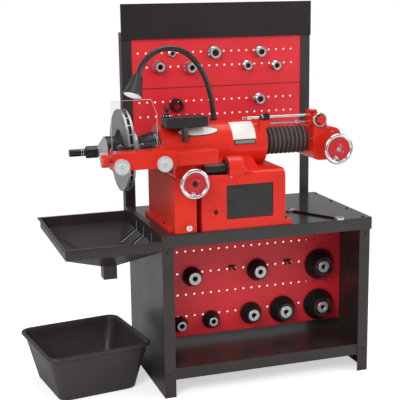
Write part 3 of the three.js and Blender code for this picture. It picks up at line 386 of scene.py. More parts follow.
def hung_size(node):
    """Where a stored adapter hangs: x, its back, z, its radius and its depth."""
    (x0, y0, z0), (x1, y1, z1) = span(node)
    return (x0 + x1) / 2, y1, (z0 + z1) / 2, (x1 - x0) / 2, y1 - y0


def stored_adapter(name, place, radius, depth, face, bore, finish, taper=0.68):
    """Cone or bell that narrows to a bright faced ring; its bore is open to the front."""
    edge = radius * taper
    body = turned(
        [(radius - 5, 0.4), (radius, 1.6), (radius, depth * 0.25), (radius - 1.5, depth * 0.31),
            (radius - 6, depth * 0.45), (edge, depth * 0.94), (edge - 1.6, depth - 0.4),
            (face + 1.6, depth - 0.4), (face + 0.8, depth * 0.9), (bore + 0.6, depth * 0.9),
            (bore, depth * 0.86), (bore, 0.6), (radius - 5, 0.4)], place, front)
    shell = build(name, [body], finish)
    ring = turned(
        [(bore + 0.4, depth * 0.88), (face, depth * 0.88), (face + 0.8, depth - 1.2),
            (face - 0.6, depth - 0.1), (bore + 3.4, depth - 0.1), (bore + 0.6, depth - 3),
            (bore + 0.4, depth * 0.88)], place, front)
    build(name + "_face", [ring], faced_steel)
    # the bore ends in a dark red disc: the board behind it, in painted shade
    end = turned([(0, 1), (bore - 0.3, 1), (bore - 0.3, 2), (0, 2)], place, front, 24)
    build(name + "_bore", [end], hollow_shade_red)
    return shell


def bell_windows(name, x, mouth, z, inner, outer, steps=8):
    """Three curved openings between a bell's ribs, drawn as dark red patches: the board behind them, in
    painted shade.
    """
    forms = []
    for number in range(3):
        points = []
        for radius in (inner, outer):
            for step in range(steps + 1):
                angle = math.radians(30 + number * 120 + 76 * (step / steps - 0.5))
                points.append(at(x + radius * math.cos(angle), mouth, z + radius * math.sin(angle)))
        forms.append(
            (points, [(step, step + 1, step + steps + 2, step + steps + 1) for step in range(steps)]))
    build(name, forms, hollow_shade_red)


face_sizes = {
    "cone_adapter_1": 26, "cone_adapter_2": 25, "cone_adapter_3": 20, "cone_adapter_4": 18,
    "cone_adapter_5": 24, "bell_adapter_1": 24, "bell_adapter_2": 26, "bell_adapter_3": 24}
for node, face in face_sizes.items():
    x, back, z, radius, depth = hung_size(node)
    black = stored_adapter("black_" + node, (x, back, z), radius, depth, face, 9, adapter_black)
    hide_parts(node)
    if node in ("bell_adapter_1", "bell_adapter_3"):
        bell_windows(node + "_windows", x, back - depth + 0.15, z, face + 4, radius * 0.68 - 3)
for node in ("small_adapter_1", "small_adapter_2"):
    x, back, z, radius, depth = hung_size(node)
    bright = stored_adapter(
        "bright_" + node, (x, back, z), radius, depth, 20, 10, small_chrome)
    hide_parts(node)
board_gap = 0.5
hung_back = rear_board_face - board_gap
small_cones = (
    (-224, 1308, 16), (-36, 1307, 29), (177, 1304, 25), (115, 1247, 22), (251, 1242, 22), (171, 1099, 25))
for number, (x, z, radius) in enumerate(small_cones, 3):
    stored_adapter(
        f"bright_small_adapter_{number}", (x, hung_back, z), radius, radius * 1.1, radius * 0.8,
        radius * 0.48, small_chrome, taper=0.88)
ring_adapter = [
    (30, 0.4), (31, 3), (30, 20), (27, 28), (22, 29), (20, 27), (21, 12), (19, 0.4), (30, 0.4)]
build("black_small_adapter_9", [turned(ring_adapter, (-209, hung_back, 1088), front)], adapter_black)


# Chip hopper: black sheet steel tray hooked over the table's left edge, with a sloped floor
# down to a square spout. Three lipped slots run down its right wall and floor.
dress("chip_hopper", bench_black, 1.0)
# The slots are drawn, not cut: their lips are near-white strips of painted highlight, their openings
# black strips of painted shade.
slot_lip_highlight = painted(
    "slot_lip_painted_highlight", (0.82, 0.8, 0.8), (0.66, 0.64, 0.64), 80, 0.35, 900, 0.00006, metal=0.15,
    slot="steel")
slot_opening_shade = painted(
    "slot_opening_painted_shade", (0.006, 0.006, 0.006), (0.004, 0.004, 0.004), 80, 0.8, 900, 0.00006,
    slot="tool_black")
slot_places = (351, 240, 123)
lip_width, slot_width = 5, 24


def down_the_chute(y0, y1, lift):
    """A strip that runs down the hopper's right wall and on down its sloped floor."""
    wall = -447.4 - lift
    floor_lift = lift * 1.2
    route = ((wall, 643), (wall, 604.5 + lift), (-486, 576.4 + floor_lift), (-516, 555.6 + floor_lift))
    points = [at(x, y, z) for y in (y0, y1) for x, z in route]
    return points, [(step, step + 1, step + 5, step + 4) for step in range(3)]


build("hopper_slot_lips", [down_the_chute(y, y + lip_width, 1.2) for y in slot_places], slot_lip_highlight)
build("hopper_slots", [down_the_chute(y + lip_width + 1, y + lip_width + 1 + slot_width, 0.5)
          for y in slot_places], slot_opening_shade)


# Chip bin: moulded black plastic tote with rounded corners, tapered sides and a rolled rim.
# It stands loose on the floor under the spout.
bin_black = painted(
    "bin_moulded_plastic", (0.05, 0.037, 0.038), (0.036, 0.026, 0.027), 7, 0.5, 420, 0.0002, coat=0.08,
    slot="bin_plastic")
bin_middle_x, bin_middle_y = -697, 282
bin_turn = math.radians(8)


def tub_ring(width, depth, z, corner, steps=6):
    """A rounded rectangle on the bin's own turned axes."""
    ring = []
    for side_x, side_y, start in ((1, 1, 0), (-1, 1, 90), (-1, -1, 180), (1, -1, 270)):
        for step in range(steps + 1):
            angle = math.radians(start + 90 * step / steps)
            x = side_x * (width / 2 - corner) + corner * math.cos(angle)
            y = side_y * (depth / 2 - corner) + corner * math.sin(angle)
            across = x * math.cos(bin_turn) - y * math.sin(bin_turn)
            along = x * math.sin(bin_turn) + y * math.cos(bin_turn)
            ring.append(at(bin_middle_x + across, bin_middle_y + along, z))
    return ring


def tub():
    """Each level is a width, a depth, a height and a corner radius: out, over the rim, in."""
    levels = [(310, 306, 1.2, 30), (322, 318, 6, 34), (404, 392, 180, 40), (406, 394, 184, 40),
              (420, 408, 184.6, 42), (430, 418, 188, 44), (431, 419, 193, 44), (428, 416, 198, 44),
              (420, 408, 199.8, 42), (406, 394, 198.5, 40), (399, 387, 193, 38), (397, 385, 180, 38),
              (316, 312, 9, 32), (304, 300, 5.2, 28)]
    points = [point for level in levels for point in tub_ring(*level)]
    return points, capped_skin(len(levels), len(points) // len(levels))


moulded_bin = build("moulded_bin", [tub()], bin_black, "bin", sharp=50)
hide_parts("chip_bin")


# Base casting: a hollow grey iron box with foot pads, a sloped neck and the round spindle
# housing, all in one casting, filled smooth and sprayed in deep glossy machine red.
machine_red = painted(
    "machine_red_enamel", (0.78, 0.028, 0.014), (0.7, 0.022, 0.012), 5, 0.24, 260, 0.00018, coat=0.12,
    shine=0.3, slot="machine_red")
dress("base_casting", machine_red, 3.2)
recess_face, recess_middle_y, recess_middle_z, recess_radius = -112, 45, 893, 48.25
neck_route = ((116, 927), (30, 884), (9, 875.5))


def neck_fairing(turns=14, steps=9):
    """The casting swells smoothly from the neck out to the rim of the shaft recess."""
    knee = 0.77
    points = []
    for turn in range(turns + 1):
        share = turn / turns
        angle = math.radians(-34 + 136 * share)
        rim_y = recess_middle_y - recess_radius * math.sin(angle)
        rim_z = recess_middle_z + recess_radius * math.cos(angle)
        low, part = (0, share / knee) if share < knee else (1, (share - knee) / (1 - knee))
        spot = Vector(neck_route[low]).lerp(Vector(neck_route[low + 1]), part)
        foot = Vector((-84 + 32 * share, spot.x + 0.6, spot.y - 0.6))
        line = []
        for step in range(steps + 1):
            reach = step / steps
            ease = reach * reach * (3 - 2 * reach)
            line.append((recess_face + (foot.x - recess_face) * reach, rim_y + (foot.y - rim_y) * ease,
                            rim_z + (foot.z - rim_z) * ease))
        points += [at(*place) for place in line]
        points += [at(x, y + 14, z - 9) for x, y, z in reversed(line)]
    count = 2 * (steps + 1)
    faces = skin(turns + 1, count)
    for end in (0, turns * count):
        faces += [(end + step, end + step + 1, end + count - 2 - step, end + count - 1 - step)
                  for step in range(steps)]
    return points, faces


build("neck_fairing", [neck_fairing()], machine_red, sharp=60)


# Badge and label: thin bare plates wrapped round the spindle housing, an oval one with a
# dark rim and an oblong one with a grey strip below it. They carry no words or marks.
steel_bright = painted(
    "bright_steel", (0.62, 0.62, 0.63), (0.5, 0.5, 0.51), 90, 0.24, 1500, 0.00006, metal=1.0,
    slot="steel")
badge_white = painted(
    "badge_white_print", (0.86, 0.86, 0.85), (0.8, 0.8, 0.79), 30, 0.4, 900, 0.00003, coat=0.3,
    slot="dial_silver")
badge_dark = painted(
    "badge_dark_outline", (0.03, 0.03, 0.034), (0.02, 0.02, 0.022), 30, 0.4, 900, 0.00003, coat=0.3,
    slot="tool_black")
label_cream = painted(
    "label_cream_edge", (0.84, 0.79, 0.6), (0.78, 0.72, 0.52), 30, 0.45, 900, 0.00003, slot="dial_silver")
strip_grey = painted(
    "label_grey_strip", (0.3, 0.31, 0.31), (0.14, 0.15, 0.15), 160, 0.4, 900, 0.00003, slot="tool_black")
spindle_y, spindle_z, housing_radius = 200, 966, 93
spindle_axis = (0, spindle_y, spindle_z)


def on_housing(x, climb, lift):
    """A point on the round housing: climb is the angle above its front, in degrees."""
    angle = math.radians(climb)
    reach = housing_radius + lift
    return at(x, spindle_y - reach * math.cos(angle), spindle_z + reach * math.sin(angle))


def wrapped_plate(outline, lift, buried=0.05):
    """A thin bare plate that lies on the housing; outline is a list of (x, degrees)."""
    count = len(outline)
    middle_x = sum(x for x, _ in outline) / count
    middle_climb = sum(climb for _, climb in outline) / count
    points = [on_housing(x, climb, buried) for x, climb in outline]
    for share in (1, 0.75, 0.5, 0.25):
        points += [on_housing(middle_x + (x - middle_x) * share,
                       middle_climb + (climb - middle_climb) * share, lift) for x, climb in outline]
    points.append(on_housing(middle_x, middle_climb, lift))
    faces = skin(5, count)
    for step in range(count):
        faces.append((4 * count + step, 4 * count + (step + 1) % count, 5 * count))
    return points, faces


def oval(x, climb, half_width, half_climb, count=40):
    return [(x + half_width * math.cos(angle), climb + half_climb * math.sin(angle))
            for angle in around(count)]


def oblong(x0, x1, low, high, count=8):
    """Points along the four sides, close enough together to bend round the housing."""
    corners = [(x0, low), (x1, low), (x1, high), (x0, high)]
    sides = []
    for (ax, ay), (bx, by) in zip(corners, corners[1:] + corners[:1]):
        sides += [(ax + (bx - ax) * step / count, ay + (by - ay) * step / count) for step in range(count)]
    return sides


rim_lift, face_lift = 0.5, 0.9
for name, outline, lift, finish in (
        ("badge_rim", oval(-248, 45, 86, 14), rim_lift, badge_dark),
        ("badge_face", oval(-248, 45, 81, 11.6), face_lift, badge_white),
        ("label_border", oblong(-109, -13, 16.5, 71), rim_lift, label_cream),
        ("label_face", oblong(-106, -17, 18.5, 69), face_lift, badge_white),
        ("label_strip_edge", oblong(-107, -15, 4, 15.5), rim_lift, badge_dark),
        ("label_strip", oblong(-101, -20, 6, 13.5), face_lift, strip_grey)):
    build(name, [wrapped_plate(outline, lift)], finish, sharp=60)


# Access cover: a pressed black sheet let into the front of the base, held by four screws.
# Its raised field is plain. The base's own boss, screw and bolts are round it.
cover_black = painted(
    "cover_black_satin", (0.022, 0.022, 0.024), (0.012, 0.012, 0.013), 30, 0.4, 700, 0.00018, coat=0.15,
    slot="tool_black")
dress("access_cover", cover_black, 2.0)
cover_front, field_margin, screw_margin = 2.0, 14, 7
(cover_left, _, cover_foot), (cover_right, _, cover_head) = span("access_cover")
build("cover_field", [slab(cover_left + field_margin, cover_right - field_margin, cover_front - 1.2,
              cover_front + 0.2, cover_foot + field_margin, cover_head - field_margin)], cover_black,
      edge=1.0)
build("cover_screws", [dome_bolt(x, cover_front, z, front, 3.2, 1.5)
          for x in (cover_left + screw_margin, cover_right - screw_margin)
          for z in (cover_foot + screw_margin, cover_head - screw_margin)], cover_black)
boss_place = (-224, 0, 734)
boss_profile = [(0, 2.6), (11, 2.6), (12, 3.8), (19.4, 3.8), (21.2, 2.6), (21.4, -0.6), (0, -0.6)]
build("base_boss", [turned(boss_profile, boss_place, front, 40)], machine_red)
build("base_screw", [dome_bolt(-159, 0, 866, front, 3.2, 1.8)], steel_bright)
build("base_bolt", [turned([(0, 7), (6.4, 7), (8, 5.6), (8, 2), (0, 2)], boss_place, front, 24)],
      bolt_black)
foot_bolt = [(0, 6), (5, 6), (6.5, 4.5), (6.5, 1), (10, 0.8), (10, -0.4), (0, -0.4)]
for name, y in (("foot_bolt_front", 33), ("foot_bolt_back", 355)):
    build(name, [turned(foot_bolt, (80, y, 680.4), up, 6)], bolt_black)


# Drive inside the base: motor, two pulleys and a belt. They show only through openings, so
# they have plain workshop finishes: cast iron, turned steel and black rubber.
iron_grey = painted(
    "cast_iron_grey", (0.2, 0.2, 0.21), (0.13, 0.13, 0.14), 35, 0.5, 500, 0.0003, metal=0.5)
belt_rubber = painted("belt_rubber", (0.02, 0.02, 0.02), (0.012, 0.012, 0.012), 90, 0.7, 800, 0.0002)
dress("motor", iron_grey, 2)
dress("motor_pulley", steel_bright, 0.6)
dress("spindle_pulley", steel_bright, 0.6)
dress("drive_belt", belt_rubber, 0.5)


# Spindle, arbor and clamping adapters: the ground steel arbor carries a hexagon nut, a
# bright nose cone and black bell clamps that grip the rotor's hat from both sides.
spindle_steel = painted(
    "spindle_oiled_steel", (0.05, 0.052, 0.056), (0.03, 0.031, 0.034), 50, 0.26, 900, 0.00008, metal=0.85,
    slot="steel")
chrome = painted(
    "polished_chrome", (0.86, 0.87, 0.88), (0.78, 0.79, 0.8), 25, 0.09, 700, 0.00003, metal=1.0,
    slot="chrome")
for part, finish, edge in (
        ("spindle", spindle_steel, 1.2), ("arbor_nut", spindle_steel, 1.6), ("nose_cone", chrome, 1.0),
        ("outer_bell_clamp", adapter_black, 1.4), ("inner_bell_clamp", adapter_black, 1.0)):
    dress(part, finish, edge)


def collar(x0, x1, radius, inner, place=spindle_axis, sides=40):
    """A ring round a shaft that lies along the bench."""
    return turned(
        [(inner, x0), (radius - 0.8, x0), (radius, x0 + 0.8), (radius, x1 - 0.8), (radius - 0.8, x1),
            (inner, x1)], place, right, sides)


build("arbor_tip_ring", [collar(-742, -739, 12.4, 9), collar(-700, -697, 15, 13.6),
          collar(-692, -689, 15, 13.6)], steel_bright, "spindle")
build("nut_washer", [collar(-634.4, -632.2, 22.5, 14.4)], steel_bright, "spindle")
build("nose_groove_rings", [collar(-412, -409, 64.6, 62), collar(-403, -400, 64.6, 62)], steel_bright,
      "spindle")


# Brake rotor: vented cast iron disc, bare and machined. The cutter leaves fine rings on its
# faces, which stretch the highlights into streaks that run out from the middle.
def ringed_iron(name, colour, deep):
    finish = new_finish(name, colour, 0.32, metal=0.9)
    mottle(finish, colour, deep, 22, 0.24, 0.42)
    lay = new_node(finish, "Tangent", "Tangent", {}, direction_type="RADIAL", axis="X")
    middle = tuple(at(*spindle_axis))
    away = new_node(
        finish, "VectorMath", "Vector", {0: place_on(finish), 1: middle}, operation="SUBTRACT")
    flat = new_node(finish, "VectorMath", "Vector", {0: away, 1: (0, 1, 1)}, operation="MULTIPLY")
    reach = new_node(finish, "VectorMath", "Value", {0: flat}, operation="LENGTH")
    rings = new_node(finish, "Math", "Value", {0: reach, 1: 5200}, operation="MULTIPLY")
    wave = new_node(finish, "Math", "Value", {0: rings}, operation="SINE")
    bump = new_node(finish, "Bump", "Normal", {"Height": wave, "Strength": 0.35, "Distance": 0.0002})
    shade(finish, {"Anisotropic": 0.75, "Tangent": lay, "Normal": bump})
    return finish


rotor_iron = ringed_iron("rotor_machined_iron", (0.56, 0.54, 0.54), (0.4, 0.39, 0.39))
dress("brake_rotor", rotor_iron, 1.0)


# Bellows: black rubber sleeve of deep round folds that keeps chips off the ram, clipped
# to the housing on the left. The gearbox pushes it shorter as it feeds; here it keeps one length.
bellows_rubber = painted(
    "bellows_rubber", (0.085, 0.068, 0.067), (0.058, 0.046, 0.046), 60, 0.46, 500, 0.0003, slot="rubber")
(bellows_left, _, bellows_foot), (bellows_right, _, bellows_top) = span("bellows")
bellows_length = bellows_right - bellows_left
bellows_radius = (bellows_top - bellows_foot) / 2
bellows_bore, cuff_radius, valley_radius, cuff_length = 39, 46, 44, 6


def bellows_profile(folds=10, points=9):
    """Cuff, round folds, cuff, and back through the bore."""
    fold = (bellows_length - 2 * cuff_length) / folds
    profile = [(bellows_bore, bellows_left), (cuff_radius, bellows_left),
               (cuff_radius + 1, bellows_left + 2), (cuff_radius + 0.4, bellows_left + cuff_length)]
    for turn in range(folds):
        start = bellows_left + cuff_length + turn * fold
        for step in range(1, points):
            share = step / points
            swell = math.sin(math.pi * share) ** 0.62
            profile.append(
                (valley_radius + (bellows_radius - valley_radius) * swell, start + fold * share))
        profile.append((valley_radius - 0.4, start + fold))
    return profile + [
        (cuff_radius + 0.4, bellows_right - 5), (cuff_radius, bellows_right),
        (bellows_bore, bellows_right), (bellows_bore, bellows_left)]


bellows = build(
    "ribbed_bellows", [turned(bellows_profile(), spindle_axis, right, 56)], bellows_rubber, "bench",
    sharp=60)
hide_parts("bellows")
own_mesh(bellows)


# Feed gearbox: red cast case with a boss for the feed handwheel and a tower for the rate
# dial. Its front has one dome screw, its left face an oil plug and the ends of two rods.
dress("feed_gearbox", machine_red, 4.0)
build("gearbox_screw", [dome_bolt(318, 110.1, 1002, front, 3.6, 2.4)], steel_bright, "feed_carriage")
brass = painted(
    "brass", (0.5, 0.36, 0.16), (0.36, 0.26, 0.11), 60, 0.3, 900, 0.00006, metal=1.0, slot="steel")
plug = [(0, 6), (4, 6), (5.4, 4.6), (5.4, 2), (8, 2), (8, -0.6), (0, -0.6)]
build("oil_plug", [turned(plug, (234.8, 128, 973), left, 6)], brass, "feed_carriage")


# Handwheels: cast rim with a thick chrome skin round a red dished web, a bright centre
# bolt, and a chrome crank knob that turns on its own pin.
# The web wears a darker copy of the machine red: painted shade cast by the rim on the dished web.
wheel_web_shade_red = painted(
    "wheel_web_painted_shade", (0.62, 0.012, 0.016), (0.52, 0.008, 0.012), 12, 0.34, 300, 0.00015, coat=0.15,
    slot="machine_red")


def handwheel(name, node, body, place, shaft_end, crank_turn, bolt_radius, bolt_finish):
    """Place is the middle of the rim, on the shaft. The rim stands for the whole node."""
    rim_thick, rim_proud, crank_throw, rim_sides = 8, 7.9, 38, 20
    x, y, z = place
    low, high = span(node)
    middle = (high[0] - low[0]) / 2 - rim_thick
    web = turned(
        [(0, 4.2), (14, 4.2), (17, 2.2), (24, 0.2), (middle - 12, 0.6), (middle - 3, 2.4),
            (middle + 1.4, 1.4), (middle + 1.4, -6.4), (46, -7), (20, -7.4), (14, -9), (13, -25.2),
            (0, -25.2)], place, front, 64)
    build(name + "_web", [web], wheel_web_shade_red, body)
    rim = turned(
        [(middle + rim_thick * math.cos(angle), rim_proud * math.sin(angle))
            for angle in around(rim_sides) + [0]], place, front, 72)
    rim = build(name + "_rim", [rim], chrome, body, sharp=60)
    turn = math.radians(crank_turn)
    crank = turned(
        [(0, 21.8), (3, 21.6), (5.4, 19.4), (6.4, 15), (6.2, 10), (4.6, 5), (4.3, 2), (8, 1.2), (8, -0.6),
            (0, -0.6)], (x + crank_throw * math.cos(turn), y, z + crank_throw * math.sin(turn)), front,
        28)
    shaft = turned([(0, 0), (6.4, 0), (6.4, y - shaft_end), (0, y - shaft_end)], place, front, 24)
    build(name + "_crank", [crank, shaft], chrome, body)
    bolt = turned(
        [(0, 7.4), (bolt_radius * 0.6, 7.2), (bolt_radius * 0.75, 6), (bolt_radius * 0.78, 4.6),
            (bolt_radius, 4.4), (bolt_radius, 3), (0, 3)], place, front, 28)
    build(name + "_bolt", [bolt], bolt_finish, body)
    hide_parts(node)


handwheel("feed_wheel", "feed_handwheel", "feed_wheel", (318, 50, 938), 121.4, -112, 9.5, steel_bright)
build("feed_wheel_set_screw", [turned([(0, 3), (3.4, 2.6), (4.4, 1.2), (4.4, -0.4), (0, -0.4)],
              (337, 50, 926), front, 16)], steel_bright, "feed_wheel")


# Feed rate dial: bright ring with a dark inner track and a red knob with finger grooves,
# on the tower. Two small red lugs of the casting stand behind its upper edge.
dial_track = painted(
    "dial_dark_track", (0.03, 0.03, 0.03), (0.02, 0.02, 0.02), 60, 0.35, 900, 0.00006, slot="tool_black")
rate_place = (250, 78, 1056)


def scalloped(place, axis, outer, dip, start, end, grooves=8):
    """A knob with finger grooves: its edge waves in and out round the axis."""
    tall = end - start
    profile = [(outer * share, reach) for share, reach in ((0, start), (0.97, start),
                   (1, start + 0.08 * tall), (1, start + 0.86 * tall), (0.93, end), (0.55, end),
                   (0.5, end - 0.8), (0, end - 0.8))]

    def groove(radius, angle):
        wave = max(0, math.cos(grooves * angle)) ** 2
        return dip * wave * radius / outer if radius > 0.6 * outer else 0

    return turned(profile, place, axis, 96, groove)


rate_ring = [
    (19, 1.5), (20, 0.4), (27, 0.2), (28.6, -1.4), (28.8, -10.5), (27, -11.6), (12, -11.8), (12, 0),
    (19, 1.5)]
rate_plate = build(
    "rate_dial_ring", [turned(rate_ring, rate_place, front, 64)], chrome, "rate_dial")
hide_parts("feed_rate_dial")
build("rate_dial_track", [turned([(17.5, 1.2), (19.4, 1.9), (23, 0.9), (23, 0), (17.5, 0)], rate_place,
              front, 64)], dial_track, "rate_dial")
build("rate_dial_knob", [scalloped(rate_place, front, 17, 2.4, -1, 19.8),
          turned([(0, 0), (6.3, 0), (6.3, -43), (0, -43)], rate_place, front, 20)], machine_red,
      "rate_dial")
build("rate_dial_lugs", [turned([(0, 8), (5, 8), (6.4, 6), (6.4, -8), (0, -8)], (x, 118, z), front, 24)
          for x, z in ((228, 1084), (244, 1088))], machine_red, "feed_carriage")


# Trip rods: a chrome rod with a brass tip and a thinner stop rod run beside the bellows.
# A black block on the casting's lug guides them and trips the feed at its end.
dress("trip_rod", chrome, 0.8)
dress("stop_rod", steel_bright, 0.5)
dress("trip_block", spindle_steel, 1.6)
rod_y, rod_z = 136, 1071
rod_axis = (0, rod_y, rod_z)
rod_tip = [(0, -61.6), (4.4, -61.4), (6.3, -59.6), (6.3, -42), (5.9, -41.8), (5.9, -41)]
build("trip_rod_tip", [turned(rod_tip, rod_axis, right, 28)], brass, "feed_carriage")
block_screw = [(0, 5), (3, 5), (4.5, 4), (4.5, 1.6), (6, 1.4), (6, -0.4), (0, -0.4)]
build("trip_block_screw", [turned(block_screw, (40, rod_y, 1084), up, 20)], spindle_steel)
build("trip_stop_ring", [collar(10, 20, 9.4, 6.1, rod_axis, 28)], spindle_steel, "feed_carriage")
wing = [(0, 17), (3, 16.6), (4.4, 14), (3.2, 10), (2.6, 8), (0, 8)]
build("trip_stop_wing", [turned(wing, (15, rod_y, rod_z), (0.25, -0.6, 0.76), 16)], chrome,
      "feed_carriage")


# Cross feed: a red cast column bolted to the table carries the slide; its screw is turned
# by the lower handwheel, and the slide's arm reaches left to the cutter.
# The column wears a brighter, less glossy copy of the machine red: painted light on its side face.
column_lit_red = painted(
    "column_painted_light_red", (0.82, 0.05, 0.026), (0.74, 0.038, 0.02), 5, 0.42, 260, 0.00018, shine=0.1,
    slot="machine_red")
dress("cross_feed_column", column_lit_red, 3.0)
dress("cross_slide", machine_red, 3.4)
dress("cross_feed_screw", steel_bright, 0.5)
handwheel("cross_wheel", "cross_handwheel", "cross_wheel", (-326, -64, 863), -51, -102, 12, spindle_steel)
column_bolt = [(0, 5), (6, 5), (8, 3.6), (8, 1.4), (12, 1.2), (12, -0.6), (0, -0.6)]
build("column_foot_bolt", [turned(column_bolt, (-384, 143, 674.4), up, 6)], bolt_black)


# Twin cutter: red cast body across the front of the rotor with two steel tool holders, two
# graduated dials, and a finger-grooved red knob on its left end.
dress("cutter_body", machine_red, 2.6)
for side, x in (("left", -597), ("right", -514)):
    dress(side + "_tool_holder", spindle_steel, 1.0)
    build(side + "_holder_head", [slab(x, x + 42, -34, 26, 981.2, 1004),
              slab(x + 4, x + 38, -30, 20, 1003, 1012)], spindle_steel, side + "_tool", edge=1.6)
    build(side + "_head_screws", [dome_bolt(x + 21, y, 1012.2, up, 5, 4) for y in (-20, 8)], bolt_black,
          side + "_tool")
    build(side + "_bit_clamp", [slab(x + 2, x + 24, 19.8, 27.6, 996, 1010),
              slab(x + 8, x + 18, 26, 30, 999, 1013)], chrome, side + "_tool", edge=1.0)
dial_white = painted(
    "dial_satin_silver", (0.74, 0.75, 0.76), (0.66, 0.67, 0.68), 40, 0.28, 900, 0.00004, metal=0.35,
    slot="dial_silver")
dial_front, dial_z, dial_radius, tick_count, tick_half_width = -132.3, 957, 27, 40, 0.35
dial_hub = [(4.4, 0.8), (12.4, 1.2), (13.2, 0.6), (13.4, -0.4), (4.4, -0.4), (4.4, 0.8)]
dial_bolt = [(0, 2.2), (1.8, 2.2), (2, 3.2), (3.6, 3.2), (4.4, 2.2), (4.5, -0.4), (0, -0.4)]
for side in ("left", "right"):
    dress(side + "_tool_dial", dial_white, 0.9)
    low, high = span(side + "_tool_dial")
    dial_x = (low[0] + high[0]) / 2
    middle = Vector((dial_x, dial_front - 0.12, dial_z))
    ticks = []
    for step, angle in enumerate(around(tick_count)):
        inner = dial_radius - (5.2 if step % 5 == 0 else 2.8)
        way = Vector((math.cos(angle), 0, math.sin(angle)))
        across = Vector((-math.sin(angle), 0, math.cos(angle))) * tick_half_width
        corners = [at(*(middle + way * reach + across * half))
                   for reach, half in ((dial_radius, 1), (dial_radius, -1), (inner, -1), (inner, 1))]
        ticks.append((corners, [(0, 1, 2, 3)]))
    build(side + "_dial_marks", ticks, badge_dark, side + "_dial")
    dial_middle = (dial_x, dial_front, dial_z)
    build(side + "_dial_hub", [turned(dial_hub, dial_middle, front, 40)], dial_white, side + "_dial")
    build(side + "_dial_bolt", [turned(dial_bolt, dial_middle, front, 24)], bolt_black, side + "_dial")
(knob_left, _, _), (knob_right, _, _) = span("cutter_knob")
knob_y, knob_z, knob_depth = -76, 974, 26
knob_shaft = knob_right - knob_left - knob_depth - 1
grip_place = (knob_left + knob_depth, knob_y, knob_z)
grip = build(
    "grooved_cutter_knob", [scalloped(grip_place, left, 24, 3.2, 0, 25.6),
        turned([(0, 0), (9, 0), (9, -knob_shaft), (0, -knob_shaft)], grip_place, left, 28)], machine_red,
    "end_knob")
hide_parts("cutter_knob")
knob_cap = [(0, 0.2), (5, 0.2), (6, -0.2), (14, -0.2), (16.6, 0.2), (17.4, -0.8), (17.4, -1.6), (0, -1.6)]
build("cutter_knob_cap", [turned(knob_cap, (knob_left + 0.4, knob_y, knob_z), left, 40)], steel_bright,
      "end_knob")
build("cutter_wing_screw", [slab(-646, -638, -122, -111, 1003, 1012),
          turned([(0, 5), (4, 5), (4, -3), (0, -3)], (-628, -76, 1003), up, 16)], steel_bright,
      "cross_slide", edge=0.8)
build("cutter_cap_screws", [dome_bolt(x, y, 1003.1, up, 5, 3)
          for x, y in ((-585, -88), (-500, -88), (-545, -60))], bolt_black, "cross_slide")


# Guard: a bent clear polycarbonate sheet with one cut corner, standing on a steel pin. The
# sheet is nearly invisible; its sawn edges are a near-white strip of painted highlight.
def clear_sheet(name, tint, alpha):
    finish = new_finish(name, tint, 0.12, shine=0.06, slot="clear_plastic")
    shade(finish, {"Alpha": alpha})
    grain(finish, 30, 0.0002)
    return finish


guard_clear = clear_sheet("guard_clear_plastic", (0.05, 0.05, 0.055), 0.075)
# the sawn edges are a near-white strip: painted highlight
guard_edge_highlight = clear_sheet("guard_edge_painted_highlight", (0.95, 0.96, 0.97), 0.45)
dress("clear_guard", guard_clear, 0.3)
guard_outline = ((-635.5, 1014), (-635.5, 1185.4), (-485.5, 1185.4), (-465.6, 1131.6), (-465.6, 1014))
build("guard_sawn_edge", [swept([(x, -58.6, z) for x, z in guard_outline], 0.9, 8)], guard_edge_highlight, "guard")
pin_end = [(0, 0.9), (3.6, 0.9), (5.6, 0.2), (5.6, -0.4), (0, -0.4)]
build("guard_pin_ends", [turned(pin_end, (x, -60, 1007.8), axis, 20)
          for x, axis in ((-642.2, left), (-458.8, right))], steel_bright, "guard")


# Boring bar: a squared steel block on the casting's pad, blacked, with a clamp handle
# below it and a bright collar with a black ball above.
dress("boring_bar", cover_black, 2.2)
clamp_steel = painted(
    "clamp_worn_steel", (0.16, 0.16, 0.17), (0.08, 0.08, 0.085), 45, 0.3, 700, 0.0001, metal=0.8)
dress("boring_bar_clamp", clamp_steel, 1.4)
clamp_bottom = span("boring_bar_clamp")[0][2]
build("clamp_tip", [turned([(0, -0.4), (7, -0.2), (11.3, 3), (11.4, 13), (10, 14)],
              (-311, 100, clamp_bottom), up, 28)], chrome, "bar_clamp")
(_, _, collar_foot), (_, _, ball_top) = span("boring_bar_knob")
ball_radius, ball_steps, stud_reach, stud_count = 11.4, 16, 18.2, 8
ball_x, ball_y = -372, 133
ball_axis = (ball_x, ball_y, 0)
collar_profile = [(0, 0), (17, 0), (19.6, 2), (19.6, 7), (17, 9), (9, 11.6), (0, 11.6)]
bar_knob = build(
    "bar_knob_collar", [turned(collar_profile, (ball_x, ball_y, collar_foot), up, 8)], spindle_steel,
    "bar_knob", sharp=20)
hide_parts("boring_bar_knob")
stud_profile = [(0, 1.6), (2.2, 1.4), (3.2, 0.2), (3.2, -1), (0, -1)]
studs = []
half_side = math.pi / stud_count
for angle in around(stud_count):
    way = (math.cos(angle + half_side), math.sin(angle + half_side), 0)
    stud_place = (ball_x + stud_reach * way[0], ball_y + stud_reach * way[1], collar_foot + 4.6)
    studs.append(turned(stud_profile, stud_place, way, 12))
build("bar_knob_studs", studs, chrome, "bar_knob")
ball_turns = [math.pi * step / ball_steps for step in range(ball_steps + 1)]
ball = [(ball_radius * math.sin(turn), ball_top - ball_radius - 0.1 - ball_radius * math.cos(turn))
        for turn in ball_turns]
neck = [(9, collar_foot + 11.4), (5.6, collar_foot + 13), (5.2, ball_top - 20)]
build("bar_knob_ball", [turned(ball, ball_axis, up, 32), turned(neck, ball_axis, up, 24)], cover_black,
      "bar_knob", sharp=60)
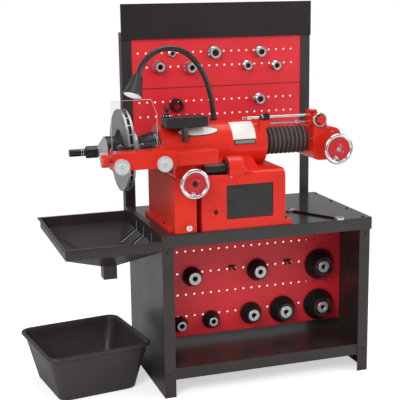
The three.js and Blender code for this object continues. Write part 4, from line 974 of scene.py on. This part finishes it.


# Work lamp: black spiral-wound flexible neck in a socket on the housing, with a cone shade
# and a clear lens, painted near white with a faint glow as a painted reflection of the studio light.
neck_black = painted(
    "neck_wound_black", (0.02, 0.023, 0.022), (0.012, 0.014, 0.013), 40, 0.24, 700, 0.0003, coat=0.2)
dress("lamp_gooseneck", neck_black, 1.2)
shade_black = painted(
    "shade_black_enamel", (0.03, 0.03, 0.031), (0.02, 0.02, 0.021), 20, 0.3, 500, 0.0001, coat=0.3,
    slot="tool_black")
dress("lamp_shade", shade_black, 1.0)
neck_end = (-457, 228, 1250)
shade_way = tuple(Vector((-60, -54, -146)).normalized())
# the lens's near-white colour and faint glow are a painted reflection of the studio light
lens_painted_glow = new_finish("lamp_lens", (0.93, 0.94, 0.95), 0.12, coat=0.5, slot="dial_silver")
shade(lens_painted_glow, {"Emission Color": (1, 1, 1, 1), "Emission Strength": 0.35})
grain(lens_painted_glow, 160, 0.0006)
build("lamp_lens", [turned([(0, 86.4), (12, 86.3), (24, 85.9), (35.8, 85.2), (35.8, 84.6)], neck_end,
              shade_way, 48)], lens_painted_glow, "lamp", sharp=60)
build("lamp_shade_bands", [turned([(19, 5), (21.4, 5.6), (21.8, 11), (21, 12)], neck_end, shade_way, 48),
          turned([(36.4, 81), (38.9, 82), (39.2, 87.4), (36.8, 87.9)], neck_end, shade_way, 64)],
      shade_black, "lamp")


# Small fittings: the black feed shaft sleeve in its recess, the hexagon socket lock pin,
# and the chrome wrench that lies on the table, dark at its middle and bright at its ends.
dress("feed_shaft_sleeve", cover_black, 1.4)
dress("lock_pin", chrome, 1.2)
wrench_steel = new_finish("wrench_chrome", (0.7, 0.7, 0.72), 0.2, metal=0.8)
wrench_low, wrench_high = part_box("wrench")
wrench_middle = tuple((wrench_low + wrench_high) / 2)
wrench_reach = new_node(
    wrench_steel, "VectorMath", "Value", {0: place_on(wrench_steel), 1: wrench_middle},
    operation="DISTANCE")
wrench_fade = two_tones(
    wrench_steel, wrench_reach, 0.098, (0.035, 0.033, 0.034), 0.112, (0.72, 0.72, 0.74))
shade(wrench_steel, {"Base Color": wrench_fade})
grain(wrench_steel, 700, 0.00005)
dress("wrench", wrench_steel, 1.4)


# Studio: a pale floor and backdrop, one large soft key light from the front left, a fill
# from the right, and a top light. Two dark cards give the chrome something to show.
def sheet_mesh(name, width, height, finish):
    x, y = width / 2, height / 2
    mesh = bpy.data.meshes.new(name)
    mesh.from_pydata([(-x, -y, 0), (x, -y, 0), (x, y, 0), (-x, y, 0)], [], [(0, 1, 2, 3)])
    mesh.materials.append(finish)
    return mesh


white = (1, 1, 1, 1)
floor_white = new_finish("studio_floor_white", (0.9, 0.9, 0.9), 0.9, shine=0.0)
# the camera sees the floor lit by itself, and plain white where it is far away
ray = new_node(floor_white, "LightPath", "Is Camera Ray", {})
glow = new_node(floor_white, "Math", "Value", {0: ray, 1: 0.55}, operation="MULTIPLY")
shade(floor_white, {"Emission Color": white, "Emission Strength": glow})
away = new_node(floor_white, "VectorMath", "Value", {0: place_on(floor_white)}, operation="LENGTH")
fade = new_node(
    floor_white, "MapRange", "Result", {"Value": away, "From Min": 0.9, "From Max": 2.4},
    interpolation_type="SMOOTHSTEP")
far = new_node(floor_white, "Math", "Value", {0: fade, 1: ray}, operation="MULTIPLY")
blank = new_node(floor_white, "Emission", "Emission", {"Color": white})
blend = new_node(
    floor_white, "MixShader", "Shader", {"Fac": far,
        1: floor_white.node_tree.nodes["Principled BSDF"].outputs["BSDF"], 2: blank})
feed(floor_white.node_tree.nodes["Material Output"], {"Surface": blend})
show("studio_floor", sheet_mesh("studio_floor", 60, 60, floor_white))

# the air is white to the camera and dimmer to everything that reflects it
world = bpy.data.worlds.new("studio_air")
bpy.context.scene.world = world
world.use_nodes = True
ray = new_node(world, "LightPath", "Is Camera Ray", {})
seen = new_node(
    world, "Math", "Value", {0: ray, 1: ray.node.outputs["Is Transmission Ray"]}, operation="MAXIMUM")
level = new_node(world, "MapRange", "Result", {"Value": seen, "To Min": 0.42, "To Max": 1.0})
feed(world.node_tree.nodes["Background"], {"Color": white, "Strength": level})


def put_up(item, place, target, facing):
    """Stands a light or a card in the studio with its facing axis turned to the target."""
    holder = show(item.name, item)
    holder.location = place
    way = Vector(target) - Vector(place)
    holder.rotation_euler = way.to_track_quat(facing, "Y").to_euler()
    return holder


for name, place, target, size, power in (
        ("key_box", (-2.6, -3.4, 3.4), (0, 0, 0.8), 2.2, 105),
        ("fill_box", (3.4, -2.6, 2.2), (0, 0, 0.8), 2.0, 40),
        ("top_box", (0.4, 0.2, 4.2), (0, 0, 0.6), 2.6, 52)):
    lamp = bpy.data.lights.new(name, "AREA")
    lamp.shape = "SQUARE"
    lamp.size = size
    lamp.energy = power
    put_up(lamp, place, target, "-Z")
for name, place, width, height in (
        ("front_card", (0.6, -5.2, 0.9), 2.4, 1.6), ("left_card", (-4.6, -1.2, 0.7), 1.6, 1.6)):
    black = new_finish(name + "_black", (0.01, 0.01, 0.01), 0.5)
    card = put_up(sheet_mesh(name, width, height, black), place, (0, 0, 0.9), "Z")
    card.visible_camera = False
    card.visible_diffuse = False
    card.visible_shadow = False


# Camera: a long lens at standing height to the left of the bench, looking down a little,
# with the small roll that the photograph has.
camera = bpy.data.cameras.new("photo_camera")
camera.lens = 87.90
camera.sensor_width = 36
tripod = show("photo_camera", camera)
tripod.location = (-1.1705, -3.6859, 1.5604)
tripod.rotation_mode = "QUATERNION"
looks = Vector((0.3042, 0.9296, -0.2079)).to_track_quat("-Z", "Y")
tripod.rotation_quaternion = looks @ Quaternion((0, 0, 1), math.radians(-0.82))
bpy.context.scene.camera = tripod
bpy.context.scene.view_settings.view_transform = "Standard"
